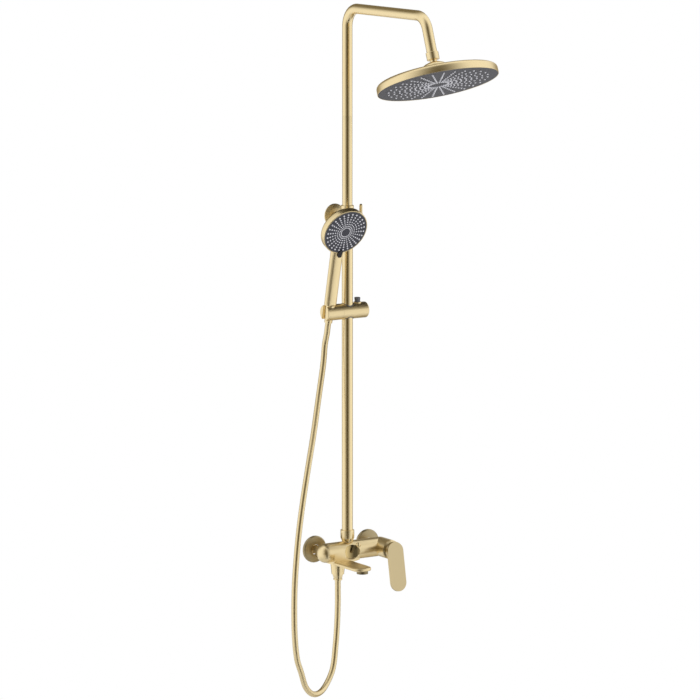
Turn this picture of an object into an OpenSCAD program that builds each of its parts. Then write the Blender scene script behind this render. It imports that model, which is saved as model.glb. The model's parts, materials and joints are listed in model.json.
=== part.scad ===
// Rainfall shower column: a wall-mounted single-lever mixer with bath spout, diverter and hose outlet, a
// telescopic riser with a bent arm and a ball-jointed rain head, and a sliding holder with a hand shower.
// Frame: origin on the wall plane, midway between the two inlets; +X to the right, -Y out of the wall, +Z up.

/* [Wall connections] */
// Distance between the two inlet centres
inlet_pitch = 150; // [146:1:160]
// Distance from the wall to the axis of the mixer bar and of the riser
reach = 57; // [52:1:64]
// Outer radius of the half-inch inlet thread
inlet_thread_r = 10.3; // [10.0:0.1:10.5]
// Length of the inlet thread behind the wall plane
inlet_thread_len = 15; // [10:1:20]
// Outer diameter of the inlet cover plates
rosette_d = 65; // [56:1:74]
// Height of the inlet cover plates above the wall
rosette_h = 8; // [6:0.5:10]

/* [Mixer] */
// Diameter of the mixer bar and of the cartridge barrel
bar_d = 46; // [44:1:50]
// Distance from the wall to the front rim of the cartridge barrel
barrel_out = 103; // [100:1:106]
// Radius of the dish that surrounds the diverter
dish_r = 24; // [22:1:25]
// Diameter of the diverter knob
diverter_d = 23; // [20:1:26]

/* [Lever] */
// Width of the lever plate
lever_w = 43.5; // [36:0.5:46]
// Total length of the lever plate
lever_len = 118; // [95:1:130]
// Thickness of the lever plate
lever_t = 5.5; // [4.5:0.5:7]
// Lean of the lever plate, lower end outwards
lever_lean = 10.5; // [5:0.5:14]

/* [Bath spout] */
// Position of the spout and hose outlet along the bar
spout_x = -44; // [-50:1:-42]
// Width of the spout plate
spout_w = 47; // [40:1:52]
// Thickness of the spout plate
spout_t = 7.5; // [7:0.5:10]
// Distance from the wall to the tip of the spout
spout_out = 180; // [150:1:210]
// Outer diameter of the aerator ring
aerator_d = 27; // [24:1:30]

/* [Riser] */
// Position of the riser along the bar
riser_x = -17; // [-20:1:-14]
// Outer diameter of the lower riser tube
lower_d = 26; // [25:0.5:28]
// Wall of the riser tubes
tube_wall = 0.95; // [0.8:0.05:1.2]
// Height of the top of the lower riser tube
lower_top = 815; // [760:5:860]
// Length of the upper tube that stays inside the lower one
overlap = 255; // [230:5:300]
// Height of the wall bracket
bracket_z = 799; // [797:1:801]
// Outer diameter of the bracket cover plate
bracket_rosette_d = 56; // [50:1:64]

/* [Arm] */
// Height of the arm's centre line
arm_z = 1293.5; // [1200:0.5:1400]
// Horizontal distance from the riser axis to the arm's outer corner
arm_reach = 327.5; // [280:0.5:380]
// Centre-line radius of the two bends
bend_r = 44; // [36:1:55]
// Lean of the arm's last leg out of the vertical
leg_lean = 20; // [10:1:30]
// Length of the last leg from the corner to the end of the tube
leg_len = 98; // [90:1:120]

/* [Rain head] */
// Diameter of the rain head
head_d = 280; // [220:5:300]
// Height of the rain head's rim
head_rim = 21; // [18:1:26]
// Number of nozzle spokes
head_spokes = 28; // [16:1:32]
// Number of nozzles on a spoke
head_rings = 9; // [5:1:10]

/* [Slider and hand shower] */
// Height of the slider
slider_z = 577; // [300:1:650]
// Diameter of the slider
slider_d = 38; // [36:1:42]
// Position of the hand shower along the wall
handset_x = -67; // [-70:1:-66]
// Lean of the hand shower out of the vertical
handset_lean = 12.6; // [8:0.1:18]
// Width of the hand shower's handle
handle_w = 31; // [27:0.5:34]
// Depth of the hand shower's handle
handle_t = 20; // [18:0.5:24]
// Distance from the holder's axis to the centre of the spray face, along the handle
face_up = 209; // [190:1:230]
// Diameter of the spray head
spray_d = 116; // [100:1:124]
// Tilt of the spray face against the handle
face_tilt = 13.5; // [8:0.5:18]
// Number of nozzle spokes on the hand shower
spray_spokes = 26; // [14:1:28]
// Number of nozzles on a spoke of the hand shower
spray_rings = 7; // [4:1:8]

/* [Hidden] */
$fn = 72;
GOLD = [0.78, 0.68, 0.47];
DARK_GOLD = [0.62, 0.52, 0.33];
GREY = [0.36, 0.36, 0.39];
RUBBER = [0.15, 0.15, 0.16];
WHITE = [0.86, 0.86, 0.84];
STEEL = [0.7, 0.71, 0.73];

run_gap = 0.05;   // radial clearance of a running fit
fit_gap = 0.1;    // clearance of a fixed joint
free_gap = 0.3;   // clearance between moving surfaces that never touch
over = 1;         // how far a cutting tool reaches past a face

inlet_x = inlet_pitch / 2;
bar_r = bar_d / 2;
lower_r = lower_d / 2;
upper_r = lower_r - tube_wall - run_gap;   // the upper tube slides in the lower one
upper_wall = 1.5;
bend_slim = 0.1;
bend_lap = 0.5;

// Inlets
neck_r = 9.95;
inlet_bore_r = neck_r + run_gap;
neck_end = reach - 10;           // how far the union's spigot reaches into the body
inlet_bore_end = reach - 1;
waterway_r = 6.5;
gallery_r = 3.5;
union_hex = 24;
o_ring_t = 1.8;

// Cartridge stack, as distances from the wall
seat_out = reach - 6;            // floor of the cartridge chamber
cart_r = 17.4;
cart_top = seat_out + 30;
cart_neck_r = 15;
cart_neck_top = cart_top + 9;
carrier_r = 12.5;
pivot_out = barrel_out + 7;      // the lever tips about this line
bonnet_out = pivot_out - 3;      // where the bonnet's outer edge ends
nose_out = pivot_out + 1;        // front of the bonnet's nose
nose_r = 17;
hub_out = pivot_out + 6;         // rear edge of the lever's hub
hub_r = 22;
hub_cavity_r = 18.5;
plate_out = hub_out + 11;        // front of the lever plate on the cartridge axis
spindle_r = 4.5;
spindle_end = plate_out - lever_t - 3;
pin_r = 2;

// Diverter stack
recess_floor = reach + 8;
valve_r = 8.9;
dish_out = reach + bar_r + dish_r - 13;   // centre of the dish
valve_in = reach - 4;
stem_r = 3;
knob_out = recess_floor + 9;
fin_out = knob_out + 2.5;
fin_len = 18.5;

// Riser foot
boss_r = 12;
boss_top = bar_r + 13;
seal_h = 2;
tube_foot = boss_top + seal_h;
foot_nut_r = 16.5;
foot_nut_top = tube_foot + 12.5;

// Spout and hose outlet
spout_top = -20;                 // height of the spout's upper face
root_out = reach + 20;           // front face of the fairing that the spout butts against
tongue_in = 9.5;                 // how far the spout's tongue reaches into the fairing
tip_r = 12;
aerator_back = 15;               // from the spout's tip to the aerator's axis
channel_h = spout_t - 4;
skirt_top = spout_top - spout_t;
skirt_h = 26.5;
skirt_r = 17.5;
nipple_r = 10.3;
nipple_end = skirt_top - skirt_h + 5;
hose_nut_r = 12.7;
hose_nut_top = nipple_end + 5;
hose_nut_end = nipple_end - 20;

// Telescopic riser
upper_foot = lower_top - overlap;
collar_h = 14;
collar_r = 15.2;
sleeve_r = 17;
sleeve_h = 32;
bracket_arm_r = 9;
base_r = 19;
base_t = 4;
base_screw_pitch = 24;
base_screw_r = 2.3;
post_r = 7.5;
post_out = 16;
lock_x = riser_x + 38;           // centre of the lock lever

// Ball joint under the arm, as distances along the last leg from its corner
nut_top = leg_len - 13;
nut_end = leg_len + 5;
arm_nut_r = 14.5;
ball_s = leg_len + 20;
ball_r = 11.5;
ball_neck_r = 8;
seat_out_r = 13.5;
head_collar_r = 21.5;
crown_s = ball_s + 10;           // where the head collar sits on the casing
rim_s = crown_s + 12;            // top of the rim
face_s = rim_s + head_rim;       // lower edge of the rim
head_r = head_d / 2;
shell_t = 2;
nozzle_r = 1.5;
nozzle_tip = 2.4;
nozzle_h0 = head_r * 0.17;       // radius of the innermost ring
nozzle_h1 = head_r * 0.82;       // radius of the outermost ring

// Slider, as distances from the riser axis
slider_left = 64.5;
slider_right = 51;
seam = 20;                       // the turning holder starts here
slider_r = slider_d / 2;
bush_r = 15;
button_x = riser_x + 28;
button_r = 7.25;
button_proud = 12;
button_travel = 3;
button_stem_r = 5;
spring_r = 3.6;
spring_wire = 0.8;
spring_h = 9;
spring_turns = 4;
axle_r = 5;
axle_head_r = 8;
slot_w = 14.5;
socket_top_r = 12;
socket_foot_r = 9.9;

// Hand shower, in the frame of its handle
cone_top = slider_r + 0.5;
cone_len = 44;
face_out = 26;
spray_r = spray_d / 2;
casing_depth = 24;
casing_fillet = 11;
handle_front = handle_t / 2 - 1;
tab_w = 10;
tab_reach = 9;
spray_h0 = spray_r * 0.30;
spray_h1 = spray_r * 0.84;
spray_nozzle_r = 1.1;

// Hose: points of its centre line, from the mixer's outlet to the hand shower's cone nut
hose_d = 14;
hose_sides = 12;
hose_steps = 2;                  // rings from one point to the next
cone_exit = cone_len - cone_top; // how far the cone nut reaches below the holder's axis
function down_handle(d) = [handset_x, -reach + d * sin(handset_lean), slider_z - d * cos(handset_lean)];
hose_route = concat([
  [spout_x, -reach, hose_nut_end], [spout_x, -reach, -90], [spout_x, -reach, -125], [-46, -57, -175],
  [-52, -60, -224], [-65, -68, -279], [-90, -78, -314], [-119, -93, -328], [-150, -109, -323],
  [-176, -122, -300], [-195, -133, -261], [-210, -139, -225], [-219, -144, -170], [-221, -145, -110],
  [-219, -144, -50], [-212, -140, 10], [-201, -134, 75], [-185, -126, 145], [-162, -112, 220],
  [-128, -84, 300], [-97, -57, 380], [-76, -43, 451], [-69, -39.5, 497]],
  [for (d = [cone_exit + 28, cone_exit + 14, cone_exit]) down_handle(d)]);

// ---------- Shapes that repeat ----------

// Local Z points out of the wall, local Y up; used for everything that stands on the wall
module facing_front(x, z) translate([x, 0, z]) rotate([90, 0, 0]) children();

// Local X points out of the wall, local Y up, local Z to the left; side profiles are drawn here
module side_view() rotate([90, 0, -90]) children();

// Local Z points along +X
module along_x(x, y, z) translate([x, y, z]) rotate([0, 90, 0]) children();

// A ring or tube
module ring(r_out, r_in, h) difference() {
  cylinder(r = r_out, h = h);
  translate([0, 0, -over]) cylinder(r = r_in, h = h + 2 * over);
}

// A disc whose upper edge is rounded
module soft_disc(r, h, fillet) rotate_extrude() {
  square([r, h - fillet]);
  square([r - fillet, h]);
  translate([r - fillet, h - fillet]) circle(r = fillet);
}

// A ring with a round section
module o_ring(r, t) rotate_extrude() translate([r, 0]) circle(d = t, $fn = 24);

// A headless screw with a hexagon socket in its outer end
module grub_screw(r, h) difference() {
  cylinder(r = r, h = h);
  translate([0, 0, h - h * 0.6]) cylinder(r = r / 2, h = h, $fn = 6);
}

// A cover plate: a shallow hollow cone with a rolled rim
module cover_plate(d, h, hole_r) difference() {
  rotate_extrude() difference() {
    union() {
      square([d / 2 - 1.5, 3]);
      translate([d / 2 - 1.5, 1.5]) circle(r = 1.5, $fn = 32);
      translate([d / 2 - 1.5, 0]) square([1.5, 1.5]);
      polygon([[0, 2.9], [d / 2 - 1, 2.9], [d / 2 - 9, h - 1.2], [hole_r + 4, h], [0, h]]);
    }
    polygon([[0, -over], [d / 2 - 3, -over], [d / 2 - 3, 1.6], [d / 2 - 10.5, h - 2.8], [0, h - 2.8]]);
  }
  translate([0, 0, -over]) cylinder(r = hole_r, h = h + 2 * over);
}

// A tongue of width w and length l with round corners at its far end, drawn from y = 0
module tongue(w, l, r) {
  translate([-w / 2, 0]) square([w, l - r]);
  translate([-w / 2 + r, 0]) square([w - 2 * r, l]);
  for (side = [-1, 1]) translate([side * (w / 2 - r), l - r]) circle(r = r);
}

// A rectangle with four round corners, centred
module round_rect(w, h, r) {
  square([w, h - 2 * r], center = true);
  square([w - 2 * r, h], center = true);
  for (sx = [-1, 1]) for (sy = [-1, 1])
    translate([sx * (w / 2 - r), sy * (h / 2 - r)]) circle(r = r, $fn = 48);
}

// Places its children at each nozzle of a spoked field; rings spread outwards with a growing pitch
function ring_radius(i, count, r0, r1) = r0 + (r1 - r0) * pow(i / (count - 1), 1.15);
module nozzle_field(spokes, rings, r0, r1)
  for (k = [0 : spokes - 1]) for (i = [0 : rings - 1])
    rotate([0, 0, k * 360 / spokes]) translate([ring_radius(i, rings, r0, r1), 0, 0]) children();

// Tube swept along a list of points: each ring stands square to the path and is carried on without twist
function unit(v) = v / norm(v);
function path_dir(p, i) = unit(p[min(i + 1, len(p) - 1)] - p[max(i - 1, 0)]);
function side_step(u, t) = unit(u - t * (u * t));
function frames(p, i = 0, u = [1, 0, 0]) = i >= len(p) ? [] :
  let (t = path_dir(p, i), s = side_step(u, t)) concat([[s, cross(t, s)]], frames(p, i + 1, s));
// Catmull-Rom point between p1 and p2
function spline(p0, p1, p2, p3, t) = 0.5 * (2 * p1 + (p2 - p0) * t
  + (2 * p0 - 5 * p1 + 4 * p2 - p3) * t * t + (3 * p1 - p0 - 3 * p2 + p3) * t * t * t);
function smooth_path(p, n) = concat([for (i = [0 : len(p) - 2]) for (k = [0 : n - 1])
  spline(p[max(i - 1, 0)], p[i], p[i + 1], p[min(i + 2, len(p) - 1)], k / n)], [p[len(p) - 1]]);
module swept_tube(p, r, sides) {
  f = frames(p);
  n = len(p);
  points = [for (i = [0 : n - 1]) for (k = [0 : sides - 1])
    p[i] + r * (cos(360 * k / sides) * f[i][0] + sin(360 * k / sides) * f[i][1])];
  walls = [for (i = [0 : n - 2]) for (k = [0 : sides - 1])
    let (a = i * sides + k, b = i * sides + (k + 1) % sides) [a, a + sides, b + sides, b]];
  first = [for (k = [0 : sides - 1]) k];
  last = [for (k = [sides - 1 : -1 : 0]) (n - 1) * sides + k];
  polyhedron(points, concat(walls, [first], [last]));
}

// ---------- Wall connections ----------

module wall_union(x) color(GOLD) facing_front(x, 0) difference() {
  union() {
    translate([0, 0, -inlet_thread_len]) cylinder(r = inlet_thread_r, h = inlet_thread_len);
    cylinder(d = union_hex, h = rosette_h - 4, $fn = 6);
    cylinder(r = neck_r, h = neck_end);
  }
  translate([0, 0, -inlet_thread_len - over])
    cylinder(r = waterway_r, h = neck_end + inlet_thread_len + 2 * over);
  for (s = [0, 5]) translate([0, 0, neck_end - 3.4 - s]) ring(neck_r + over, neck_r - o_ring_t, 2);
}
module wall_union_left() wall_union(-inlet_x);
module wall_union_right() wall_union(inlet_x);

module wall_rosette(x) color(GOLD) facing_front(x, 0) cover_plate(rosette_d, rosette_h, neck_r + fit_gap);
module wall_rosette_left() wall_rosette(-inlet_x);
module wall_rosette_right() wall_rosette(inlet_x);

module inlet_o_rings() color(RUBBER) for (x = [-inlet_x, inlet_x]) for (s = [0, 5])
  facing_front(x, 0) translate([0, 0, neck_end - 2.4 - s]) o_ring(neck_r - o_ring_t / 2, o_ring_t);

// A washer with a dished sieve, seated in the mouth of each inlet thread
module inlet_filters() color(STEEL) for (x = [-inlet_x, inlet_x])
  facing_front(x, 0) translate([0, 0, -inlet_thread_len - 1.5]) difference() {
    cylinder(r = inlet_thread_r - 1, h = 1.5);
    for (r = [2, 4.5]) for (k = [0 : 7]) rotate([0, 0, k * 45]) translate([r, 0, -over])
      cylinder(r = 0.6, h = 4, $fn = 16);
  }

// ---------- Mixer ----------

// Outline of the fairing seen from the front: it runs from the left inlet under the recess to the spout
module fairing_front() {
  translate([spout_x - spout_w / 2, spout_top - spout_t]) square([spout_w, spout_t + 12]);
  polygon([[spout_x - spout_w / 2, -6], [spout_x - spout_w / 2, spout_top - spout_t + 1],
    [spout_x + spout_w / 2 - 2, spout_top - spout_t + 1], [riser_x + 22, -bar_r + 1.5],
      [riser_x + 22, -6]]);
}
// Side profile of the fairing: from the front of the bar straight down to the spout's root
module fairing_side() polygon([[reach - 14, -4], [reach + bar_r - 0.4, -4], [reach + bar_r - 1, -8],
  [root_out, spout_top + 4], [root_out, skirt_top], [reach - 14, skirt_top]]);

module fairing() intersection() {
  facing_front(0, 0) linear_extrude(height = root_out + over) fairing_front();
  translate([inlet_x, 0, 0]) side_view() linear_extrude(height = inlet_pitch) fairing_side();
}

// Dish in front of the diverter with a flat seat for the knob
module diverter_recess() facing_front(riser_x, 0) {
  translate([0, 0, dish_out]) sphere(r = dish_r, $fn = 96);
  translate([0, 0, recess_floor]) cylinder(r = diverter_d / 2 + 0.8, h = bar_d);
}

// Bar with round ends, turned about its axis, and the barrel that stands on its right end
module mixer_shell() {
  along_x(0, -reach, 0) rotate_extrude($fn = 96) {
    translate([0, -inlet_x]) square([bar_r, inlet_pitch]);
    for (side = [-1, 1]) translate([0, side * inlet_x]) intersection() {
      circle(r = bar_r);
      translate([0, -bar_r]) square([bar_r, bar_d]);
    }
  }
  facing_front(inlet_x, 0) translate([0, 0, reach])
    cylinder(r = bar_r + 0.2, h = barrel_out - reach, $fn = 96);
  translate([riser_x, -reach, 0]) cylinder(r = boss_r, h = boss_top);
}

// Ways for the water: hot runs low at the back, mixed runs high in front
module galleries() {
  hot = [-inlet_x, -reach + 9, -10.5];
  along_x(hot[0], hot[1], hot[2]) cylinder(r = gallery_r, h = inlet_pitch - 9);
  facing_front(inlet_x - 9, hot[2]) translate([0, 0, reach - 9]) cylinder(r = gallery_r, h = 6);
  along_x(spout_x - 14, -reach - 3, 5) cylinder(r = gallery_r + 1, h = inlet_x - spout_x);
  translate([spout_x, -reach - 3, spout_top - 2]) cylinder(r = gallery_r, h = -spout_top + 8);
  translate([spout_x - 12, -reach - 9, spout_top - 4]) cylinder(r = gallery_r, h = -spout_top + 9);
}

module mixer_body() color(GOLD) difference() {
  union() {
    mixer_shell();
    fairing();
  }
  diverter_recess();
  galleries();
  // inlets
  for (x = [-inlet_x, inlet_x]) facing_front(x, 0)
    cylinder(r = inlet_bore_r, h = x < 0 ? inlet_bore_end : neck_end + 1.5);
  facing_front(inlet_x, 0) cylinder(r = waterway_r, h = seat_out + over);
  // grub screw holes that lock the unions
  for (x = [-inlet_x, inlet_x]) translate([x, -reach + 14, -bar_r - over]) cylinder(r = 2.5, h = bar_r);
  // cartridge chamber
  facing_front(inlet_x, 0) translate([0, 0, seat_out]) cylinder(r = cart_r + fit_gap, h = bar_d * 2);
  facing_front(inlet_x, 0) translate([0, 0, cart_top]) cylinder(r = 20, h = bar_d * 2);
  // diverter chamber
  facing_front(riser_x, 0) translate([0, 0, valve_in]) cylinder(r = valve_r + fit_gap, h = bar_d);
  // ways up to the riser, down to the hose and out to the spout
  translate([riser_x, -reach, 0]) cylinder(r = 8, h = boss_top + over);
  translate([spout_x, -reach, -bar_d]) cylinder(r = 9.1, h = bar_d + spout_top + 3);
  facing_front(spout_x, spout_top - spout_t / 2) translate([0, 0, root_out - tongue_in - 0.2])
    linear_extrude(height = bar_d)
      square([spout_w - 11 + 2 * fit_gap, spout_t - 3 + 2 * fit_gap], center = true);
}

// Grub screws that lock the unions in the body and the bracket arm on its post
module set_screws() color(STEEL) {
  for (x = [-inlet_x, inlet_x]) translate([x, -reach + 14, -neck_r - 0.1]) mirror([0, 0, 1])
    grub_screw(2.45, 7);
  facing_front(riser_x, bracket_z) translate([0, 0, post_out - 3]) rotate([90, 0, 0])
    translate([0, 0, post_r + 0.1]) grub_screw(2.05, 1.3);
}

// Spout plate with a flat waterway inside and a tongue that plugs into the fairing
module spout_plan(grow = 0) translate([0, 0]) tongue(spout_w + grow, spout_out - root_out, tip_r);
module bath_spout() color(GOLD) translate([spout_x, 0, spout_top - spout_t]) difference() {
  union() {
    intersection() {
      translate([0, -root_out, 0]) mirror([0, 1, 0]) linear_extrude(height = spout_t) spout_plan();
      translate([spout_w, 0, 0]) side_view() linear_extrude(height = 2 * spout_w) spout_side();
    }
    translate([0, -root_out + tongue_in, spout_t / 2]) rotate([90, 0, 0])
      linear_extrude(height = tongue_in + 1) square([spout_w - 11, spout_t - 3], center = true);
  }
  // waterway
  translate([0, -spout_out + aerator_back, 2]) translate([-10, 0, 0])
    cube([20, spout_out - aerator_back - root_out + tongue_in + over, channel_h]);
  // mouth for the aerator
  translate([0, -spout_out + aerator_back, -over]) cylinder(r = 10.6, h = 2 + channel_h + over);
}
// Side profile of the spout, with the upper edge of its tip rounded
module spout_side() {
  translate([root_out - over, 0]) square([spout_out - root_out + over, spout_t / 2]);
  translate([root_out - over, 0]) square([spout_out - root_out + over - 3, spout_t]);
  translate([spout_out - 3, spout_t - 3]) circle(r = 3, $fn = 32);
}

module aerator_ring() color(DARK_GOLD) translate([spout_x, -spout_out + aerator_back, skirt_top])
  difference() {
  union() {
    translate([0, 0, -7]) cylinder(d = aerator_d, h = 7);
    cylinder(r = 10.5, h = 3);
  }
  translate([0, 0, -7 - over]) cylinder(r = 9.6, h = 8);
  translate([0, 0, -over]) cylinder(r = 8, h = 5);
}
// Sieve of the aerator, held against the ring's inner step
module aerator_insert() color(WHITE) translate([spout_x, -spout_out + aerator_back, skirt_top - 6])
  difference() {
  cylinder(r = 9.5, h = 5.9);
  translate([0, 0, -over]) for (r = [2.6, 5.2, 7.6]) for (k = [0 : 11]) rotate([0, 0, k * 30])
    translate([r, 0, 0]) cylinder(r = 0.55, h = 3, $fn = 16);
}

// Outlet with an outer skirt and an inner threaded nipple
module hose_outlet() color(GOLD) translate([spout_x, -reach, skirt_top]) difference() {
  union() {
    difference() {
      translate([0, 0, -skirt_h]) cylinder(r1 = skirt_r - 2.5, r2 = skirt_r, h = skirt_h);
      translate([0, 0, -skirt_h - over])
        cylinder(r1 = skirt_r - 4.1, r2 = skirt_r - 1.7, h = skirt_h - 2 + over);
    }
    translate([0, 0, -skirt_h + 5]) cylinder(r = nipple_r, h = skirt_h - 5);
    cylinder(r = 9, h = 9);
  }
  translate([0, 0, -skirt_h]) cylinder(r = waterway_r, h = skirt_h + 11);
}
// Check valve pressed into the outlet's bore
module check_valve() color(WHITE) translate([spout_x, -reach, skirt_top - 8]) difference() {
  cylinder(r = waterway_r - fit_gap, h = 14);
  translate([0, 0, -over]) cylinder(r = 4, h = 6);
  translate([0, 0, 8]) ring(4.5, 1.5, 7);
}

// ---------- Cartridge and lever ----------

module mixing_cartridge() color(WHITE) facing_front(inlet_x, 0) difference() {
  union() {
    translate([0, 0, seat_out]) cylinder(r = cart_r, h = cart_top - seat_out);
    translate([0, 0, cart_top]) cylinder(r = cart_neck_r, h = cart_neck_top - cart_top);
  }
  translate([0, 0, seat_out + 8]) cylinder(r = carrier_r + run_gap, h = bar_d);
  for (k = [0 : 2]) rotate([0, 0, k * 120 + 90]) translate([7, 0, seat_out - over])
    cylinder(r = 3, h = 12);
}
module fixed_disc() color(WHITE) facing_front(inlet_x, 0) translate([0, 0, seat_out + 8]) difference() {
  cylinder(r = carrier_r - 0.1, h = 4);
  for (k = [0 : 2]) rotate([0, 0, k * 120 + 90]) translate([7, 0, -over]) cylinder(r = 2.5, h = 6);
}
module cartridge_nut() color(DARK_GOLD) facing_front(inlet_x, 0) translate([0, 0, cart_top + 0.1])
  difference() {
  cylinder(r = 19.9, h = 8);
  translate([0, 0, -over]) cylinder(r = cart_neck_r + fit_gap, h = 10);
  for (k = [0 : 5]) rotate([0, 0, k * 60]) translate([19.5, 0, 4]) cylinder(r = 2, h = 6);
}

// Bonnet over the cartridge: a sloped front edge leaves room for the lever's hub to tip, a nose fills the hub
module cartridge_bonnet() color(GOLD) facing_front(inlet_x, 0) difference() {
  union() {
    translate([0, 0, cart_neck_top]) cylinder(r = 19.9, h = barrel_out - cart_neck_top);
    translate([0, 0, barrel_out + 0.1]) cylinder(r = bar_r, h = bonnet_out - barrel_out - 0.1);
    translate([0, 0, bonnet_out]) cylinder(r1 = bar_r, r2 = hub_cavity_r, h = pivot_out - bonnet_out);
    translate([0, 0, bonnet_out]) cylinder(r = nose_r, h = nose_out - bonnet_out);
    translate([0, 0, barrel_out - over]) cylinder(r = 19.9, h = 2);
  }
  translate([0, 0, cart_neck_top - over]) cylinder(r = cart_neck_r + fit_gap, h = 4);
  translate([0, 0, cart_neck_top - over]) cylinder(r = carrier_r + 0.5, h = bar_d);
}

// Turning carrier with the slot in which the spindle tips
module cartridge_carrier() color(GREY) facing_front(inlet_x, 0) difference() {
  translate([0, 0, seat_out + 17]) cylinder(r = carrier_r, h = pivot_out + 2.5 - seat_out - 17);
  translate([-spindle_r - 0.2, -9.5, pivot_out - 16]) cube([2 * spindle_r + 0.4, 19, bar_d]);
  translate([-carrier_r - over, 0, pivot_out]) rotate([0, 90, 0])
    cylinder(r = pin_r + 0.02, h = 2 * carrier_r + 2 * over);
}
module moving_disc() color(WHITE) facing_front(inlet_x, 0) translate([0, 0, seat_out + 12.1])
  difference() {
  cylinder(r = carrier_r - 1, h = 4.8);
  translate([0, -3, -over]) cylinder(r = 4, h = 3);
}
module spindle_pin() color(STEEL) along_x(inlet_x - carrier_r + 0.2, -pivot_out, 0)
  cylinder(r = pin_r, h = 2 * carrier_r - 0.4);
module cartridge_spindle() color(GOLD) facing_front(inlet_x, 0) difference() {
  translate([0, 0, pivot_out - 13]) cylinder(r = spindle_r, h = spindle_end - pivot_out + 13);
  translate([-carrier_r, 0, pivot_out]) rotate([0, 90, 0])
    cylinder(r = pin_r + run_gap, h = 2 * carrier_r);
}

// Lever: a long plate with round ends that leans outwards, on a short hub
module lever_plane() facing_front(inlet_x, 0) translate([0, 0, plate_out])
  rotate([-lever_lean, 0, 0]) children();
module lever_handle() color(GOLD) difference() {
  union() {
    lever_plane() translate([0, 0, -lever_t]) lever_plate();
    intersection() {
      facing_front(inlet_x, 0) translate([0, 0, hub_out]) {
        cylinder(r1 = hub_r - 1.5, r2 = hub_r - 0.3, h = 1.5);
        translate([0, 0, 1.5]) cylinder(r = hub_r - 0.3, h = bar_d);
      }
      lever_plane() translate([0, 0, -lever_t / 2 - 2 * bar_d]) cylinder(r = 2 * bar_d, h = 2 * bar_d);
    }
  }
  intersection() {
    difference() {
      facing_front(inlet_x, 0) translate([0, 0, hub_out - over]) cylinder(r = hub_cavity_r, h = bar_d);
      facing_front(inlet_x, 0) translate([0, 0, hub_out]) cylinder(r = 9, h = bar_d);
    }
    lever_plane() translate([0, 0, -lever_t - 2 - 2 * bar_d]) cylinder(r = 2 * bar_d, h = 2 * bar_d);
  }
  facing_front(inlet_x, 0) translate([0, 0, hub_out - over])
    cylinder(r = spindle_r + run_gap, h = spindle_end + 0.1 - hub_out + over);
  // key hole and thread of the lever's grub screw, under the hub
  facing_front(inlet_x, 0) translate([0, 0, spindle_end - 3]) rotate([90, 0, 0])
    cylinder(r = 2.5, h = hub_r + over);
}
module lever_plate() {
  run = lever_len - lever_w;
  bevel = 0.8;
  for (step = [[0, 0], [bevel, bevel]])
    translate([0, 0, step[0]]) linear_extrude(height = lever_t - 2 * step[0] + step[1])
      stadium(lever_w - 2 * (bevel - step[1]), run);
}
module stadium(w, run) {
  circle(d = w);
  translate([0, -run]) circle(d = w);
  translate([-w / 2, -run]) square([w, run]);
}
module lever_screw() color(STEEL) facing_front(inlet_x, 0) translate([0, 0, spindle_end - 3])
  rotate([90, 0, 0])
  translate([0, 0, spindle_r + 0.1]) grub_screw(2.45, 4);

// ---------- Diverter ----------

module diverter_valve() color(DARK_GOLD) facing_front(riser_x, 0) difference() {
  translate([0, 0, valve_in]) cylinder(r = valve_r, h = recess_floor - valve_in);
  translate([0, 0, valve_in + 4]) cylinder(r = stem_r + run_gap, h = bar_d);
  for (s = [-1, 1]) translate([0, s * valve_r, valve_in + 8]) rotate([s * 90, 0, 0])
    translate([0, 0, -4]) cylinder(r = 2.5, h = 8);
}
module diverter_stem() color(STEEL) facing_front(riser_x, 0) translate([0, 0, valve_in + 5])
  cylinder(r = stem_r, h = knob_out - 3 - valve_in - 5);
// Low round knob with a grip fin that points up and to the right
module diverter_knob() color(GOLD) facing_front(riser_x, 0) difference() {
  union() {
    translate([0, 0, recess_floor + free_gap])
      soft_disc(diverter_d / 2, knob_out - recess_floor - free_gap, 2.5);
    translate([0, 0, knob_out - over]) cylinder(r = 8.5, h = fin_out - knob_out + 1.5);
    rotate([0, 0, -40]) translate([-2.4, -8, fin_out]) cube([4.8, fin_len + 8, 8]);
  }
  cylinder(r = stem_r + 0.02, h = knob_out - 3 + 0.1);
}

// ---------- Riser ----------

module riser_seal() color(RUBBER) translate([riser_x, -reach, boss_top]) ring(boss_r, 8.5, seal_h);

// Socket nut: threaded on the body's boss below, a snug socket for the tube above
module riser_nut() color(GOLD) translate([riser_x, -reach, 0]) difference() {
  union() {
    translate([0, 0, bar_r + 0.6]) cylinder(r1 = foot_nut_r - 3, r2 = foot_nut_r, h = 8);
    translate([0, 0, bar_r + 8.6]) soft_disc(foot_nut_r, foot_nut_top - bar_r - 8.6, 1.2);
  }
  cylinder(r = boss_r + fit_gap, h = boss_top + seal_h);
  translate([0, 0, tube_foot - 0.1]) cylinder(r = lower_r + fit_gap, h = bar_d);
}

module lower_riser() color(GOLD) translate([riser_x, -reach, tube_foot])
  ring(lower_r, lower_r - tube_wall, lower_top - tube_foot);

module bracket_base() color(DARK_GOLD) facing_front(riser_x, bracket_z) difference() {
  union() {
    cylinder(r = base_r, h = base_t);
    cylinder(r = post_r, h = post_out);
  }
  for (s = [-1, 1]) translate([0, s * base_screw_pitch / 2, 0]) {
    translate([0, 0, -over]) cylinder(r = base_screw_r, h = base_t + 2 * over);
  }
}
module bracket_rosette() color(GOLD) facing_front(riser_x, bracket_z)
  cover_plate(bracket_rosette_d, 9, bracket_arm_r + fit_gap);

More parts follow.
